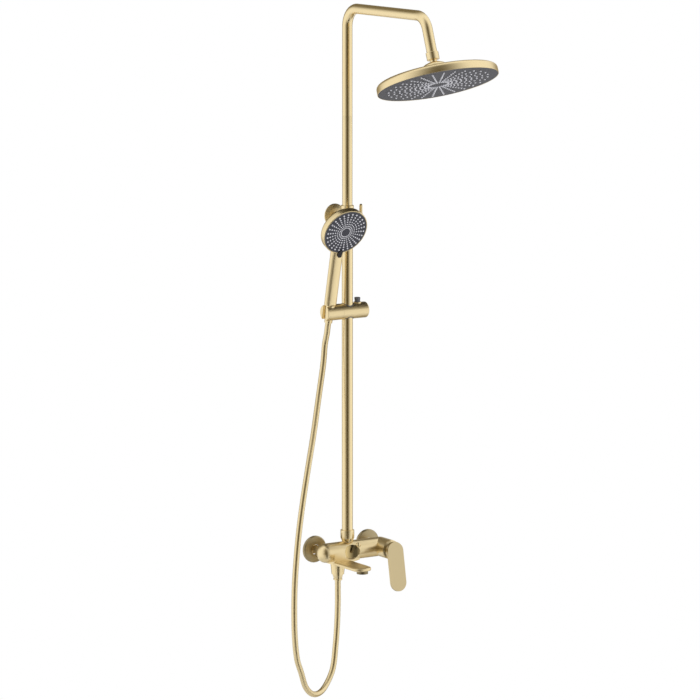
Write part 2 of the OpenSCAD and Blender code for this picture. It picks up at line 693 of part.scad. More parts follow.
// Arm from the wall post to a sleeve round the top of the lower tube
module bracket_arm() color(GOLD) difference() {
  union() {
    facing_front(riser_x, bracket_z) translate([0, 0, base_t + 0.2])
      cylinder(r = bracket_arm_r, h = reach - base_t - 0.2);
    translate([riser_x, -reach, lower_top - sleeve_h]) cylinder(r = sleeve_r, h = sleeve_h);
  }
  translate([riser_x, -reach, lower_top - sleeve_h - over])
    cylinder(r = lower_r + run_gap, h = sleeve_h + 2 * over);
  facing_front(riser_x, bracket_z) cylinder(r = post_r + fit_gap, h = post_out + 0.5);
  facing_front(riser_x, bracket_z) translate([0, 0, post_out - 3]) rotate([90, 0, 0])
    cylinder(r = 2.1, h = bracket_arm_r + over);
  // thread of the lock lever
  along_x(riser_x, -reach, bracket_z) cylinder(r = 3 + run_gap, h = sleeve_r + over);
}
module lock_collar() color(GOLD) translate([riser_x, -reach, lower_top]) difference() {
  soft_disc(collar_r, collar_h, 1);
  translate([0, 0, -over]) cylinder(r = collar_r - 1.6, h = collar_h - 1 + over);
  cylinder(r = upper_r + 0.6, h = collar_h + over);
}
// Split bush that the collar squeezes on the upper tube
module lock_bush() color(GREY) translate([riser_x, -reach, lower_top]) difference() {
  cylinder(r = collar_r - 1.7, h = collar_h - 1.1);
  translate([0, 0, -over]) cylinder(r = upper_r + run_gap, h = collar_h + over);
  for (k = [0 : 2]) rotate([0, 0, 90 + k * 120]) translate([0, -0.4, 3]) cube([collar_r, 0.8, collar_h]);
}
// Clamp screw with a round hub and an upright lever rod
module lock_lever() color(GOLD) {
  along_x(riser_x + lower_r + 0.2, -reach, bracket_z)
    cylinder(r = 3, h = lock_x - riser_x - lower_r - 0.2);
  along_x(lock_x - 4.5, -reach, bracket_z) cylinder(r = 5.5, h = 9);
  translate([lock_x, -reach, bracket_z]) cylinder(r = 3.75, h = 27);
  translate([lock_x, -reach, bracket_z + 27]) sphere(r = 3.75, $fn = 48);
}

// Plug in the foot of the upper tube; its flange and rings run in the lower tube
module guide_bush() color(WHITE) translate([riser_x, -reach, upper_foot]) difference() {
  union() {
    translate([0, 0, -14]) cylinder(r = upper_r, h = 14);
    cylinder(r = upper_r - upper_wall - run_gap, h = 12);
  }
  translate([0, 0, -14 - over]) cylinder(r = 7.5, h = 30);
  for (s = [0, 6]) translate([0, 0, -5 - s]) ring(upper_r + over, upper_r - o_ring_t, 2.2);
}
module guide_o_rings() color(RUBBER) for (s = [0, 6])
  translate([riser_x, -reach, upper_foot - 3.9 - s]) o_ring(upper_r - o_ring_t / 2, o_ring_t);

// Arm: hollow lengths, up, round, out, round and down the leaning leg. The bends are a hair slimmer than the
// straights, and each reaches half a degree into its neighbours.
module arm_bend(turn) rotate([0, 0, -bend_lap]) rotate_extrude(angle = turn + 2 * bend_lap)
  translate([bend_r, 0])
  difference() {
    circle(r = upper_r - bend_slim);
    circle(r = upper_r - upper_wall + bend_slim);
  }
module upper_riser() color(GOLD) translate([riser_x, -reach, 0]) {
  turn = 90 - leg_lean;
  set_back = bend_r * tan(turn / 2);
  inner = upper_r - upper_wall;
  translate([0, 0, upper_foot]) ring(upper_r, inner, arm_z - bend_r - upper_foot);
  side_view() {
    translate([bend_r, arm_z - bend_r]) rotate([0, 0, 90]) arm_bend(90);
    translate([arm_reach - set_back, arm_z - bend_r]) rotate([0, 0, leg_lean]) arm_bend(turn);
  }
  translate([0, -bend_r, arm_z]) rotate([90, 0, 0]) ring(upper_r, inner, arm_reach - set_back - bend_r);
  translate([0, -arm_reach, arm_z]) rotate([180 - leg_lean, 0, 0])
    translate([0, 0, set_back]) ring(upper_r, inner, leg_len - set_back);
}

// ---------- Ball joint and rain head; local Z runs down the leaning leg ----------

module leg() translate([riser_x, -reach - arm_reach, arm_z]) rotate([180 - leg_lean, 0, 0]) children();

module arm_washer() color(RUBBER) leg() translate([0, 0, leg_len]) ring(upper_r - 0.2, 5, 1);
module arm_end_nut() color(GOLD) leg() difference() {
  translate([0, 0, nut_top]) intersection() {
    soft_disc(arm_nut_r, nut_end - nut_top, 1);
    translate([0, 0, nut_end - nut_top]) mirror([0, 0, 1]) soft_disc(arm_nut_r, nut_end - nut_top, 1);
  }
  translate([0, 0, nut_top - over]) cylinder(r = upper_r + fit_gap, h = leg_len + 3.2 - nut_top + over);
  cylinder(r = ball_neck_r + 0.2, h = nut_end + over);
}
module ball_fitting() color(GOLD) leg() difference() {
  union() {
    translate([0, 0, leg_len + 1]) cylinder(r = upper_r - 0.2, h = 2.1);
    translate([0, 0, leg_len + 1]) cylinder(r = ball_neck_r, h = ball_s - leg_len - 1);
    translate([0, 0, ball_s]) sphere(r = ball_r, $fn = 96);
  }
  translate([0, 0, leg_len]) cylinder(r = 4, h = ball_s + ball_r);
}
module ball_seat() color(GREY) leg() translate([0, 0, ball_s]) rotate_extrude() intersection() {
  difference() {
    circle(r = seat_out_r);
    circle(r = ball_r + run_gap);
  }
  translate([0, -5]) square([seat_out_r, 11]);
}
// Low dome that closes over the ball and carries the head
module head_collar() color(GOLD) leg() difference() {
  union() {
    translate([0, 0, ball_s - 8]) cylinder(r1 = 14, r2 = head_collar_r - 1, h = 6);
    translate([0, 0, ball_s - 2]) cylinder(r1 = head_collar_r - 1, r2 = head_collar_r, h = 2);
    translate([0, 0, ball_s]) cylinder(r = head_collar_r, h = crown_s - ball_s);
    translate([0, 0, crown_s]) cylinder(r = 15.9, h = 5);
  }
  translate([0, 0, ball_s]) sphere(r = seat_out_r + run_gap, $fn = 96);
  translate([0, 0, ball_s - 9]) cylinder(r = 11.5, h = 9);
  translate([0, 0, ball_s]) cylinder(r = 8, h = 20);
}

module rain_head_casing() color(GOLD) leg() difference() {
  union() {
    translate([0, 0, face_s]) mirror([0, 0, 1]) soft_disc(head_r, head_rim, 7);
    translate([0, 0, crown_s]) cylinder(r1 = head_collar_r + 1, r2 = head_r - 7, h = rim_s - crown_s);
  }
  translate([0, 0, face_s + over]) mirror([0, 0, 1])
    soft_disc(head_r - shell_t - 1, head_rim - shell_t + over, 5);
  translate([0, 0, crown_s + shell_t])
    cylinder(r1 = head_collar_r - 1, r2 = head_r - 12, h = rim_s - crown_s);
  translate([0, 0, crown_s - over]) cylinder(r = 16, h = 8);
}
// Rear wall of the water chamber
module head_back_plate() color(GREY) leg() translate([0, 0, face_s - 13]) difference() {
  cylinder(r = head_r - shell_t - 2, h = 7.4);
  translate([0, 0, 2]) cylinder(r = head_r - shell_t - 5, h = 7);
  translate([0, 0, -over]) cylinder(r = 6, h = 4);
}
module rain_head_face() color(GREY) leg() translate([0, 0, face_s - 3.5]) difference() {
  cylinder(r = head_r - shell_t - 1.2, h = 3);
  translate([0, 0, -over]) nozzle_field(head_spokes, head_rings, nozzle_h0, nozzle_h1)
    cylinder(r = nozzle_r + fit_gap, h = 5, $fn = 16);
}
module rain_head_nozzles() color(WHITE) leg() translate([0, 0, face_s - 5.5]) {
  difference() {
    cylinder(r = head_r - shell_t - 5.2, h = 1.9);
    translate([0, 0, -over]) cylinder(r = 8, h = 5);
  }
  nozzle_field(head_spokes, head_rings, nozzle_h0, nozzle_h1)
    translate([0, 0, 1]) cylinder(r1 = nozzle_r, r2 = nozzle_r * 0.75, h = 4 + nozzle_tip, $fn = 16);
}

// ---------- Slider ----------

module slider_body() color(GOLD) difference() {
  union() {
    along_x(riser_x - seam, -reach, slider_z) soft_disc(slider_r, seam + slider_right, 3);
    translate([button_x, -reach, slider_z]) cylinder(r = button_r + 2, h = slider_r + 1);
  }
  translate([riser_x, -reach, slider_z - bar_d]) cylinder(r = bush_r + 0.02, h = 2 * bar_d);
  // button, its stem and spring
  translate([button_x, -reach, slider_z + slider_r - 6.5]) cylinder(r = button_r + 0.25, h = bar_d);
  translate([button_x, -reach, slider_z - slider_r + 4]) cylinder(r = button_stem_r + run_gap, h = bar_d);
  // brake plunger
  along_x(riser_x, -reach, slider_z) cylinder(r = 5 + run_gap, h = button_x - riser_x);
  // thread of the holder's axle
  along_x(riser_x - seam - over, -reach, slider_z) cylinder(r = 3 + run_gap, h = 8);
}
module slider_bush() color(GREY) translate([riser_x, -reach, slider_z - slider_r - 2])
  ring(bush_r, lower_r + run_gap, slider_d + 4);
module brake_plunger() color(STEEL) along_x(riser_x + bush_r + 0.1, -reach, slider_z)
  cylinder(r = 5, h = button_x - riser_x - bush_r - button_stem_r - 0.3);
// Shoulder screw on which the holder turns
module holder_axle() color(STEEL) {
  along_x(riser_x - seam, -reach, slider_z) mirror([0, 0, 1]) cylinder(r = axle_r, h = 14);
  along_x(riser_x - seam - 14, -reach, slider_z) mirror([0, 0, 1]) cylinder(r = axle_head_r, h = 3);
  along_x(riser_x - seam - over, -reach, slider_z) cylinder(r = 3, h = 5 + over);
}
module release_button() color(GREY) translate([button_x, -reach, slider_z]) {
  translate([0, 0, slider_r - 6.5 + button_travel + 0.2])
    soft_disc(button_r, button_proud + 6.5 - button_travel - 0.2, 1);
  translate([0, 0, -slider_r + 4 + spring_h])
    cylinder(r = button_stem_r, h = 2 * slider_r - 4 - spring_h);
}
module button_spring() color(STEEL) translate([button_x, -reach, slider_z - slider_r + 4.1])
  swept_tube(spring_path(), spring_wire / 2, 6);
function spring_path() = [for (i = [0 : spring_turns * 14])
  let (a = 360 * i / 14, h = spring_wire / 2 + (spring_h - 0.3 - spring_wire) * i / (spring_turns * 14))
  [spring_r * cos(a), spring_r * sin(a), h]];

// ---------- Holder and hand shower; local Z runs up the leaning handle ----------

module handle_frame() translate([handset_x, -reach, slider_z]) rotate([handset_lean, 0, 0]) children();
module spray_frame() handle_frame() translate([0, -face_out, face_up]) rotate([90 + face_tilt, 0, 0])
  children();

module handset_holder() color(GOLD) difference() {
  along_x(riser_x - seam - 0.2, -reach, slider_z) mirror([0, 0, 1])
    soft_disc(slider_r, slider_left - seam - 0.2, 1.5);
  along_x(riser_x - seam + over, -reach, slider_z) mirror([0, 0, 1])
    cylinder(r = axle_r + run_gap, h = 17);
  along_x(riser_x - seam - 13.8, -reach, slider_z) mirror([0, 0, 1])
    cylinder(r = axle_head_r + free_gap, h = 9);
  handle_frame() {
    translate([0, 0, -slider_r - over])
      cylinder(r1 = socket_foot_r, r2 = socket_top_r, h = slider_d + 2 * over);
    translate([-slider_left, -slot_w / 2, -slider_r - over])
      cube([slider_left, slot_w, slider_d + 2 * over]);
  }
}

module hose_cone_nut() color(GOLD) handle_frame() difference() {
  translate([0, 0, cone_top - cone_len])
    cylinder(r1 = socket_foot_r - 0.6, r2 = socket_top_r - 0.35, h = cone_len);
  translate([0, 0, cone_top - 16]) cylinder(r = nipple_r + fit_gap, h = 17);
  translate([0, 0, cone_top - cone_len + 6]) cylinder(r = 4, h = cone_len);
}

// Handle outlines: from the front, from the side and across
module handle_front_view() polygon([[-handle_w / 2 + 1.5, cone_top], [handle_w / 2 - 1.5, cone_top],
  [handle_w / 2, cone_top + 45], [handle_w / 2, face_up - spray_r + 5], [handle_w / 2 + 3,
    face_up - spray_r + 30],
  [handle_w / 2, face_up + 8], [-handle_w / 2, face_up + 8],
  [-handle_w / 2 - 3, face_up - spray_r + 30], [-handle_w / 2, face_up - spray_r + 5],
    [-handle_w / 2, cone_top + 45]]);
module handle_side_view() polygon([[-handle_t / 2 - 1, cone_top], [handle_front, cone_top],
  [handle_front, face_up - spray_r + 8], [face_out - 8, face_up], [face_out - 12, face_up + 8], [2,
    face_up + 8],
  [-handle_t / 2 + 2, face_up - 12], [-handle_t / 2 - 1, face_up - spray_r + 10]]);
module handset_body() color(GOLD) difference() {
  union() {
    handle_frame() intersection() {
      rotate([90, 0, 0]) translate([0, 0, -handle_w]) linear_extrude(height = 3 * handle_w)
        handle_front_view();
      translate([handle_w, 0, 0]) side_view() linear_extrude(height = 2 * handle_w) handle_side_view();
      translate([0, -8, 0]) linear_extrude(height = 2 * face_up)
        round_rect(handle_w + 6, handle_t + 18, 7);
      translate([0, 1, 0]) handle_section();
    }
    handle_frame() translate([0, 0, cone_top - 15]) cylinder(r = nipple_r, h = 15 + over);
    spray_frame() mirror([0, 0, 1]) {
      soft_disc(spray_r, casing_depth, casing_fillet);
      intersection() {
        cylinder(r = spray_r - casing_fillet, h = casing_depth + 5);
        translate([0, 0, casing_depth + 5 - 213]) sphere(r = 213, $fn = 160);
      }
    }
  }
  spray_frame() translate([0, 0, -9]) cylinder(r = spray_r - 2.5, h = 10);
  handle_frame() translate([0, 0, cone_top - 16]) cylinder(r = 6, h = face_up - cone_top + 10);
}
// Cross-section of the handle, carried up far enough to widen into the head
module handle_section() linear_extrude(height = 2 * face_up) {
  round_rect(handle_w + 6, handle_t + 2, 6);
  translate([0, -14]) square([handle_w + 6, 24], center = true);
}

// Spray plate with its selector tab; it turns in the casing's mouth
module handset_face() color(GREY) spray_frame() difference() {
  union() {
    translate([0, 0, -8.7]) cylinder(r = spray_r - 2.8, h = 8.9);
    translate([-tab_w / 2, -spray_r - tab_reach, 1]) cube([tab_w, tab_reach + 8, 4]);
    translate([0, -spray_r + 6, 0.1]) translate([-tab_w / 2, 0, 0]) cube([tab_w, 4, 4]);
  }
  translate([0, 0, -4.2]) nozzle_field(spray_spokes, spray_rings, spray_h0, spray_h1)
    cylinder(r = spray_nozzle_r + fit_gap, h = 6, $fn = 16);
  translate([0, 0, -9]) cylinder(r = spray_r - 6, h = 5);
}
module handset_nozzles() color(WHITE) spray_frame() {
  translate([0, 0, -6]) cylinder(r = spray_r - 6.2, h = 1.9);
  nozzle_field(spray_spokes, spray_rings, spray_h0, spray_h1)
    translate([0, 0, -5]) cylinder(r1 = spray_nozzle_r, r2 = spray_nozzle_r * 0.8, h = 6.3, $fn = 16);
}

// ---------- Hose ----------

// Lower nut: screwed on the outlet's nipple inside the skirt, tapering down to the hose
module hose_nut() color(GOLD) translate([spout_x, -reach, 0]) difference() {
  union() {
    translate([0, 0, nipple_end - 7]) cylinder(r = hose_nut_r, h = hose_nut_top - nipple_end + 7);
    translate([0, 0, hose_nut_end])
      cylinder(r1 = 9.2, r2 = hose_nut_r, h = nipple_end - 7 - hose_nut_end);
  }
  translate([0, 0, nipple_end - 1.5]) cylinder(r = nipple_r + fit_gap, h = bar_d);
  translate([0, 0, hose_nut_end + 5]) cylinder(r = 4, h = bar_d);
}

module shower_hose() color(GOLD) swept_tube(smooth_path(hose_route, hose_steps), hose_d / 2, hose_sides);

wall_union_left();
wall_union_right();
wall_rosette_left();
wall_rosette_right();
inlet_o_rings();
inlet_filters();
mixer_body();
set_screws();
bath_spout();
aerator_ring();
aerator_insert();
hose_outlet();
check_valve();
mixing_cartridge();
fixed_disc();
cartridge_nut();
cartridge_bonnet();
cartridge_carrier();
moving_disc();
spindle_pin();
cartridge_spindle();
lever_handle();
lever_screw();
diverter_valve();
diverter_stem();
diverter_knob();
riser_seal();
riser_nut();
lower_riser();
bracket_base();
bracket_rosette();
bracket_arm();
lock_collar();
lock_bush();
lock_lever();
guide_bush();
guide_o_rings();
upper_riser();
arm_washer();
arm_end_nut();
ball_fitting();
ball_seat();
head_collar();
rain_head_casing();
head_back_plate();
rain_head_face();
rain_head_nozzles();
slider_body();
slider_bush();
brake_plunger();
holder_axle();
release_button();
button_spring();
handset_holder();
handset_body();
handset_face();
handset_nozzles();
hose_cone_nut();
hose_nut();
shower_hose();
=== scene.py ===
import json
import math

import bmesh
import bpy
import mathutils
import numpy as np
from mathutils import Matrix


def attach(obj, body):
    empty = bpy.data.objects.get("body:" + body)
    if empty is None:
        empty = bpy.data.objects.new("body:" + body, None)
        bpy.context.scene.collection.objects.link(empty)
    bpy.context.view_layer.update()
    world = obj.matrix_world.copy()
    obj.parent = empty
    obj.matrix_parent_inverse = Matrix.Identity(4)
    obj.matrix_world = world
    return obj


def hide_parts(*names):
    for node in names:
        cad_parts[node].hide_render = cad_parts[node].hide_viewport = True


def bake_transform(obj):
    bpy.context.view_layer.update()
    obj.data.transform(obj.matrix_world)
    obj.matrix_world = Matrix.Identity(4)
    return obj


bl_info = {
    "name": "Rainfall shower column",
    "version": (1, 0, 0),
    "blender": (4, 5, 0),
    "location": "View3D > Sidebar > Shower",
    "description": "Finishes, hose, spray plates and stage for a wall-mounted rainfall shower column",
    "category": "Object",
}

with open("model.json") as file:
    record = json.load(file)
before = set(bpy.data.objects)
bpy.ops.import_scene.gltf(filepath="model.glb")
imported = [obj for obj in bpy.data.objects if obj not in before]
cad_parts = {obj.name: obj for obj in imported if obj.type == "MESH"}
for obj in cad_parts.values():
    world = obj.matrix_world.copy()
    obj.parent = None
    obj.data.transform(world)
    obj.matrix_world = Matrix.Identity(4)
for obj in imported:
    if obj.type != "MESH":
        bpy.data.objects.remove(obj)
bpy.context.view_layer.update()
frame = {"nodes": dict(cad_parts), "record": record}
MM = 0.001

# Places in the row frame, in millimetres, as the part has them
RISER = (-17.0, -57.0)
HANDSET_AXIS = (-67.0, -57.0, 577.0)
HANDSET_LEAN = math.radians(12.6)
FACE_TILT = math.radians(13.5)
LEG_LEAN = math.radians(20.0)
LEG_CORNER = (RISER[0], -384.5, 1293.5)
LEG = (0.0, -math.sin(LEG_LEAN), -math.cos(LEG_LEAN))
SLIDER_Z = 577.0

BODY_OF = {node: body for body, nodes in frame["record"]["behaviour"]["bodies"].items() for node in nodes}
SLOT_OF = {row["node"]: row["material_slot"] for row in frame["record"]["subparts"]}


# ---------- Places ----------

def handle_point(x, v, w):
    """Point in the handle's own frame: x to the right, v out of its front, w up along it."""
    sin, cos = math.sin(HANDSET_LEAN), math.cos(HANDSET_LEAN)
    return (HANDSET_AXIS[0] + x, HANDSET_AXIS[1] - v * cos - w * sin, HANDSET_AXIS[2] - v * sin + w * cos)


def leg_point(s):
    """Point on the arm's leaning leg, s millimetres down from its corner."""
    return tuple(corner + s * way for corner, way in zip(LEG_CORNER, LEG))


def unit(vector):
    """The vector with its length brought to one."""
    return vector / np.linalg.norm(vector)


def axes_along(direction, hint=(1.0, 0.0, 0.0)):
    """Three unit columns whose third is the direction and whose first is as near the hint as it can be."""
    z = unit(np.array(direction, float))
    x = unit(np.array(hint, float) - z * np.dot(hint, z))
    return np.stack([x, np.cross(z, x), z], axis=1)


def full_turn(sides):
    """Angles of a whole turn in even steps, without the last."""
    return np.linspace(0, 2 * math.pi, sides, endpoint=False)


def squared(turn, power):
    """Cosine and sine of a superellipse: sign(c) * |c| ** power and sign(s) * |s| ** power."""
    cos, sin = np.cos(turn), np.sin(turn)
    return np.sign(cos) * np.abs(cos) ** power, np.sign(sin) * np.abs(sin) ** power


def distances(path):
    """How far each point of a path lies from its start, along the path."""
    return np.concatenate([[0], np.cumsum(np.linalg.norm(np.diff(path, axis=0), axis=1))])


# ---------- Meshes ----------

def woven(grid, loop=False):
    """Numbers of a grid's points, the first row again at the end in a loop, and the quads between them."""
    rows, cols = grid.shape[:2]
    index = np.arange(rows * cols).reshape(rows, cols)
    if loop:
        index = np.concatenate([index, index[:1]])
    right = np.roll(index, -1, axis=1)
    return index, np.stack([index[:-1], right[:-1], right[1:], index[1:]], axis=-1).reshape(-1, 4)


def solid(name, points, faces):
    """Mesh of faces between points in millimetres."""
    mesh = bpy.data.meshes.new(name)
    mesh.from_pydata((points.reshape(-1, 3) * MM).tolist(), [], faces)
    mesh.update()
    return mesh


def skin(name, grid, loop=False):
    """Mesh of a grid of points, rows along u and columns along v.

    A quad joins each point to its neighbours, and the last column meets the first. With loop the last row
    meets the first as well, and without it one polygon closes each end.
    """
    index, quads = woven(grid, loop)
    faces = quads.tolist()
    if not loop:
        faces += [index[0, ::-1].tolist(), index[-1].tolist()]
    return solid(name, grid, faces)


def linked(name, data):
    """New object in the scene for its data."""
    obj = bpy.data.objects.new(name, data)
    bpy.context.scene.collection.objects.link(obj)
    return obj


def place(name, mesh, material, angle=35.0):
    """Object at the origin for a mesh in the row frame, smooth but for edges sharper than the angle."""
    obj = linked(name, mesh)
    mesh.shade_smooth()
    mesh.set_sharp_from_angle(angle=math.radians(angle))
    mesh.materials.append(material)
    return obj


def stand_in(obj, *nodes):
    """Puts a piece on the body of the first of the solids that it stands for, and hides them all."""
    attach(obj, BODY_OF[nodes[0]])
    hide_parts(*nodes)


def beside(obj, node):
    """Puts a piece of its own on the body of a solid."""
    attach(obj, BODY_OF[node])


def merged(node, name, angle=32.0, slot=None):
    """Copy of a solid's mesh with its loose triangles joined, so that its curved walls shade smoothly."""
    mesh = frame["nodes"][node].data.copy()
    mesh.name = name
    if "custom_normal" in mesh.attributes:
        mesh.attributes.remove(mesh.attributes["custom_normal"])
    knit = bmesh.new()
    knit.from_mesh(mesh)
    bmesh.ops.remove_doubles(knit, verts=knit.verts, dist=1e-6)
    knit.to_mesh(mesh)
    knit.free()
    mesh.materials.clear()
    obj = place(name, mesh, finish_of(slot or SLOT_OF[node]), angle)
    obj.modifiers.new("flat faces first", "WEIGHTED_NORMAL").keep_sharp = True
    stand_in(obj, node)


def repeated(name, grid, spots):
    """Copies of a small grid, closed at both ends, in one mesh: each has its place and its size."""
    index, quads = woven(grid)
    places, axes, size = spots
    points = grid.reshape(1, -1, 3) * size[:, None, None] @ axes.T + places[:, None]
    shift = (np.arange(len(places)) * index.size)[:, None, None]
    faces = (quads[None] + shift).reshape(-1, 4).tolist()
    faces += (index[-1][None] + shift[:, 0]).tolist()
    faces += (index[0, ::-1][None] + shift[:, 0]).tolist()
    return solid(name, points, faces)


def spoked(spokes, rings, inner, outer, grow=(1.0, 1.0)):
    """Places of a spoked field, in its own plane, with a size for each.

    Ring i has the radius inner + (outer - inner) * (i / (rings - 1)) ** 1.15, spoke k stands at k / spokes of
    a turn. Sizes run evenly from the first ring to the last.
    """
    share = np.arange(rings) / (rings - 1)
    radius = inner + (outer - inner) * share ** 1.15
    turn = 2 * math.pi * np.arange(spokes) / spokes
    spot = np.stack([np.outer(np.cos(turn), radius), np.outer(np.sin(turn), radius)], axis=-1).reshape(-1, 2)
    size = np.tile(grow[0] + (grow[1] - grow[0]) * share, spokes)
    return np.concatenate([spot, np.zeros((len(spot), 1))], axis=1), size


def rounded(corners, steps=6):
    """Outline through corners (a, b, radius): each corner is cut by an arc of that radius.

    The arc touches both sides at radius * tan(half the turn) from the corner, and its centre lies on the line
    that halves the corner.
    """
    places = np.array(corners, float)[:, :2]
    out = []
    for i, (here, (_, _, radius)) in enumerate(zip(places, corners)):
        if radius <= 0 or i in (0, len(corners) - 1):
            out.append(here[None])
            continue
        before, after = unit(places[i - 1] - here), unit(places[i + 1] - here)
        half = math.acos(max(-1.0, min(1.0, float(before @ after)))) / 2
        reach = radius / math.tan(half)
        t = np.linspace(0, 1, steps)[:, None]
        first, last = here + before * reach, here + after * reach
        centre = here + unit(before + after) * radius / math.sin(half)
        arc = first * (1 - t) + last * t - centre
        out.append(centre + arc / np.linalg.norm(arc, axis=1, keepdims=True) * radius)
    return np.concatenate(out)


def turned(profile, origin, direction, sides, hint=(1.0, 0.0, 0.0)):
    """Surface of revolution: a profile point (r, h) becomes a circle of radius r at height h on the axis."""
    axes = axes_along(direction, hint)
    angle = full_turn(sides)
    circle = np.outer(np.cos(angle), axes[:, 0]) + np.outer(np.sin(angle), axes[:, 1])
    radius, height = profile[:, 0, None, None], profile[:, 1, None, None]
    return np.array(origin) + radius * circle[None] + height * axes[:, 2]


def smooth_path(points, steps):
    """Catmull-Rom curve: between two points, the cubic that leaves each along the line of its neighbours."""
    p = np.array(points, float)
    before = np.concatenate([p[:1], p[:-2]])
    after = np.concatenate([p[2:], p[-1:]])
    t = np.linspace(0, 1, steps, endpoint=False)[None, :, None]
    p0, p1, p2, p3 = before[:, None], p[:-1, None], p[1:, None], after[:, None]
    curve = 0.5 * (2 * p1 + (p2 - p0) * t + (2 * p0 - 5 * p1 + 4 * p2 - p3) * t**2
                   + (3 * p1 - p0 - 3 * p2 + p3) * t**3)
    return np.concatenate([curve.reshape(-1, 3), p[-1:]])


def even_path(path, count):
    """The same curve with its points spread evenly along its length."""
    length = distances(path)
    at = np.linspace(0, length[-1], count)
    return np.stack([np.interp(at, length, path[:, k]) for k in range(3)], axis=1), length[-1]


def piped(path, radius, sides=24):
    """Tube along a path: a circle square to the path at each point, carried on without twist."""
    tangent = np.gradient(path, axis=0)
    tangent /= np.linalg.norm(tangent, axis=1, keepdims=True)
    side = np.zeros_like(path)
    u = np.array([1.0, 0.0, 0.0])
    for i, t in enumerate(tangent):
        u = unit(u - t * (u @ t))
        side[i] = u
    other = np.cross(tangent, side)
    angle = full_turn(sides)[None, :, None]
    radius = np.broadcast_to(radius, (len(path), sides))[..., None]
    return path[:, None] + radius * (np.cos(angle) * side[:, None] + np.sin(angle) * other[:, None])


# ---------- Finishes ----------

WHITE = (1.0, 1.0, 1.0, 1.0)
GRAIN_HEIGHT = 0.0002
# Scale of the marks along x, y and z
EVEN = (1.0, 1.0, 1.0)
UPWARDS = (1.0, 1.0, 0.02)
OUTWARDS = (1.0, 0.05, 1.0)
SHORT = (1.0, 1.0, 0.2)
# Gold finishes: share of the coating's colour, marks, added roughness, fineness and relief
GOLDS = {
    "gold": (1.0, UPWARDS, 0.0, 1300.0, 0.003),
    "gold_cast": (1.0, EVEN, 0.07, 1400.0, 0.004),
    "gold_plastic": (1.0, EVEN, 0.07, 1400.0, 0.004),
    # Painted shade: the wall covers' gold darkened to about half
    "cover": (0.52, EVEN, 0.16, 900.0, 0.004),
    # Painted shade: the lever's gold darkened to three quarters
    "lever": (0.74, EVEN, 0.07, 1400.0, 0.004),
    # Painted shade: the aerator rim's gold darkened to less than a third
    "rim": (0.30, EVEN, 0.1, 900.0, 0.004),
    "plate_gold": (0.98, EVEN, 0.24, 1400.0, 0.004),
    "spout": (1.0, OUTWARDS, 0.17, 1800.0, 0.006),
}
# Gold that mostly mirrors gold, darkened: painted shade and painted gold-on-gold reflection for the dish and
# the diverter's arm
PAINTED_SHADE_GOLD = (0.90, 0.68, 0.31)
# Painted shade of the dish: it is darkest at this x, and its tone rises between two distances from there, all
# in metres
DISH_DARK_X = -0.007
DISH_REACH = (0.004, 0.025)
DISH_TONES = (0.11, 0.86)
# Colour, marks and roughness of the plain metals
METALS = {
    "brass": ((0.62, 0.47, 0.25), SHORT, 0.33),
    "steel": ((0.60, 0.60, 0.58), SHORT, 0.3),
}
# Colour and roughness of the mouldings
MOULDINGS = {
    "rubber_black": ((0.02, 0.02, 0.022), 0.6),
    "plastic_white": ((0.72, 0.72, 0.70), 0.4),
    "plastic_grey": ((0.13, 0.132, 0.145), 0.45),
    "ceramic": ((0.82, 0.80, 0.76), 0.15),
}


def node(tree, kind, inputs=None, **settings):
    """Adds a shader node. An input gets a value, or a link when the value is another node's socket."""
    made = tree.nodes.new("ShaderNode" + kind)
    for key, value in settings.items():
        setattr(made, key, value)
    for key, value in (inputs or {}).items():
        if isinstance(value, bpy.types.NodeSocket):
            tree.links.new(value, made.inputs[key])
        else:
            made.inputs[key].default_value = value
    return made


def noise(tree, vector, scale, detail, roughness=0.5):
    """Noise at a vector, from 0 to 1."""
    return node(tree, "TexNoise", {"Vector": vector, "Scale": scale, "Detail": detail,
                                   "Roughness": roughness}).outputs["Fac"]


def spread(tree, value, low, high, start=0.0, end=1.0, curve="LINEAR"):
    """Value that runs from low to high while the given one runs from start to end."""
    return node(tree, "MapRange", {"Value": value, "From Min": start, "From Max": end, "To Min": low,
                                   "To Max": high}, interpolation_type=curve).outputs["Result"]


def number_of(tree, operation, *values):
    """Number that an operation gives."""
    return node(tree, "Math", dict(enumerate(values)), operation=operation).outputs["Value"]


def vector_of(tree, operation, *values, output="Vector"):
    """Vector that an operation gives or, by its output, a number."""
    return node(tree, "VectorMath", dict(enumerate(values)), operation=operation).outputs[output]


def mixed_shader(tree, share, first, second):
    """Output that mixes two shaders, the second where the share is 1."""
    return node(tree, "MixShader", {"Fac": share, 1: first.outputs[0], 2: second.outputs[0]}).outputs[0]


def new_finish(name):
    """New material, its node tree and its main shader."""
    mat = bpy.data.materials.new(name)
    mat.use_nodes = True
    return mat, mat.node_tree, mat.node_tree.nodes["Principled BSDF"]


def dress(tree, shader, color, tone, rough, height=None, depth=0.0):
    """Gives a shader its colour times a tone, its roughness and, with a height, its relief."""
    tint = node(tree, "VectorMath", {0: color[:3], "Scale": tone}, operation="SCALE")
    tree.links.new(tint.outputs["Vector"], shader.inputs["Base Color"])
    tree.links.new(rough, shader.inputs["Roughness"])
    if height is not None:
        relief = node(tree, "Bump", {"Height": height, "Strength": depth, "Distance": GRAIN_HEIGHT})
        tree.links.new(relief.outputs["Normal"], shader.inputs["Normal"])


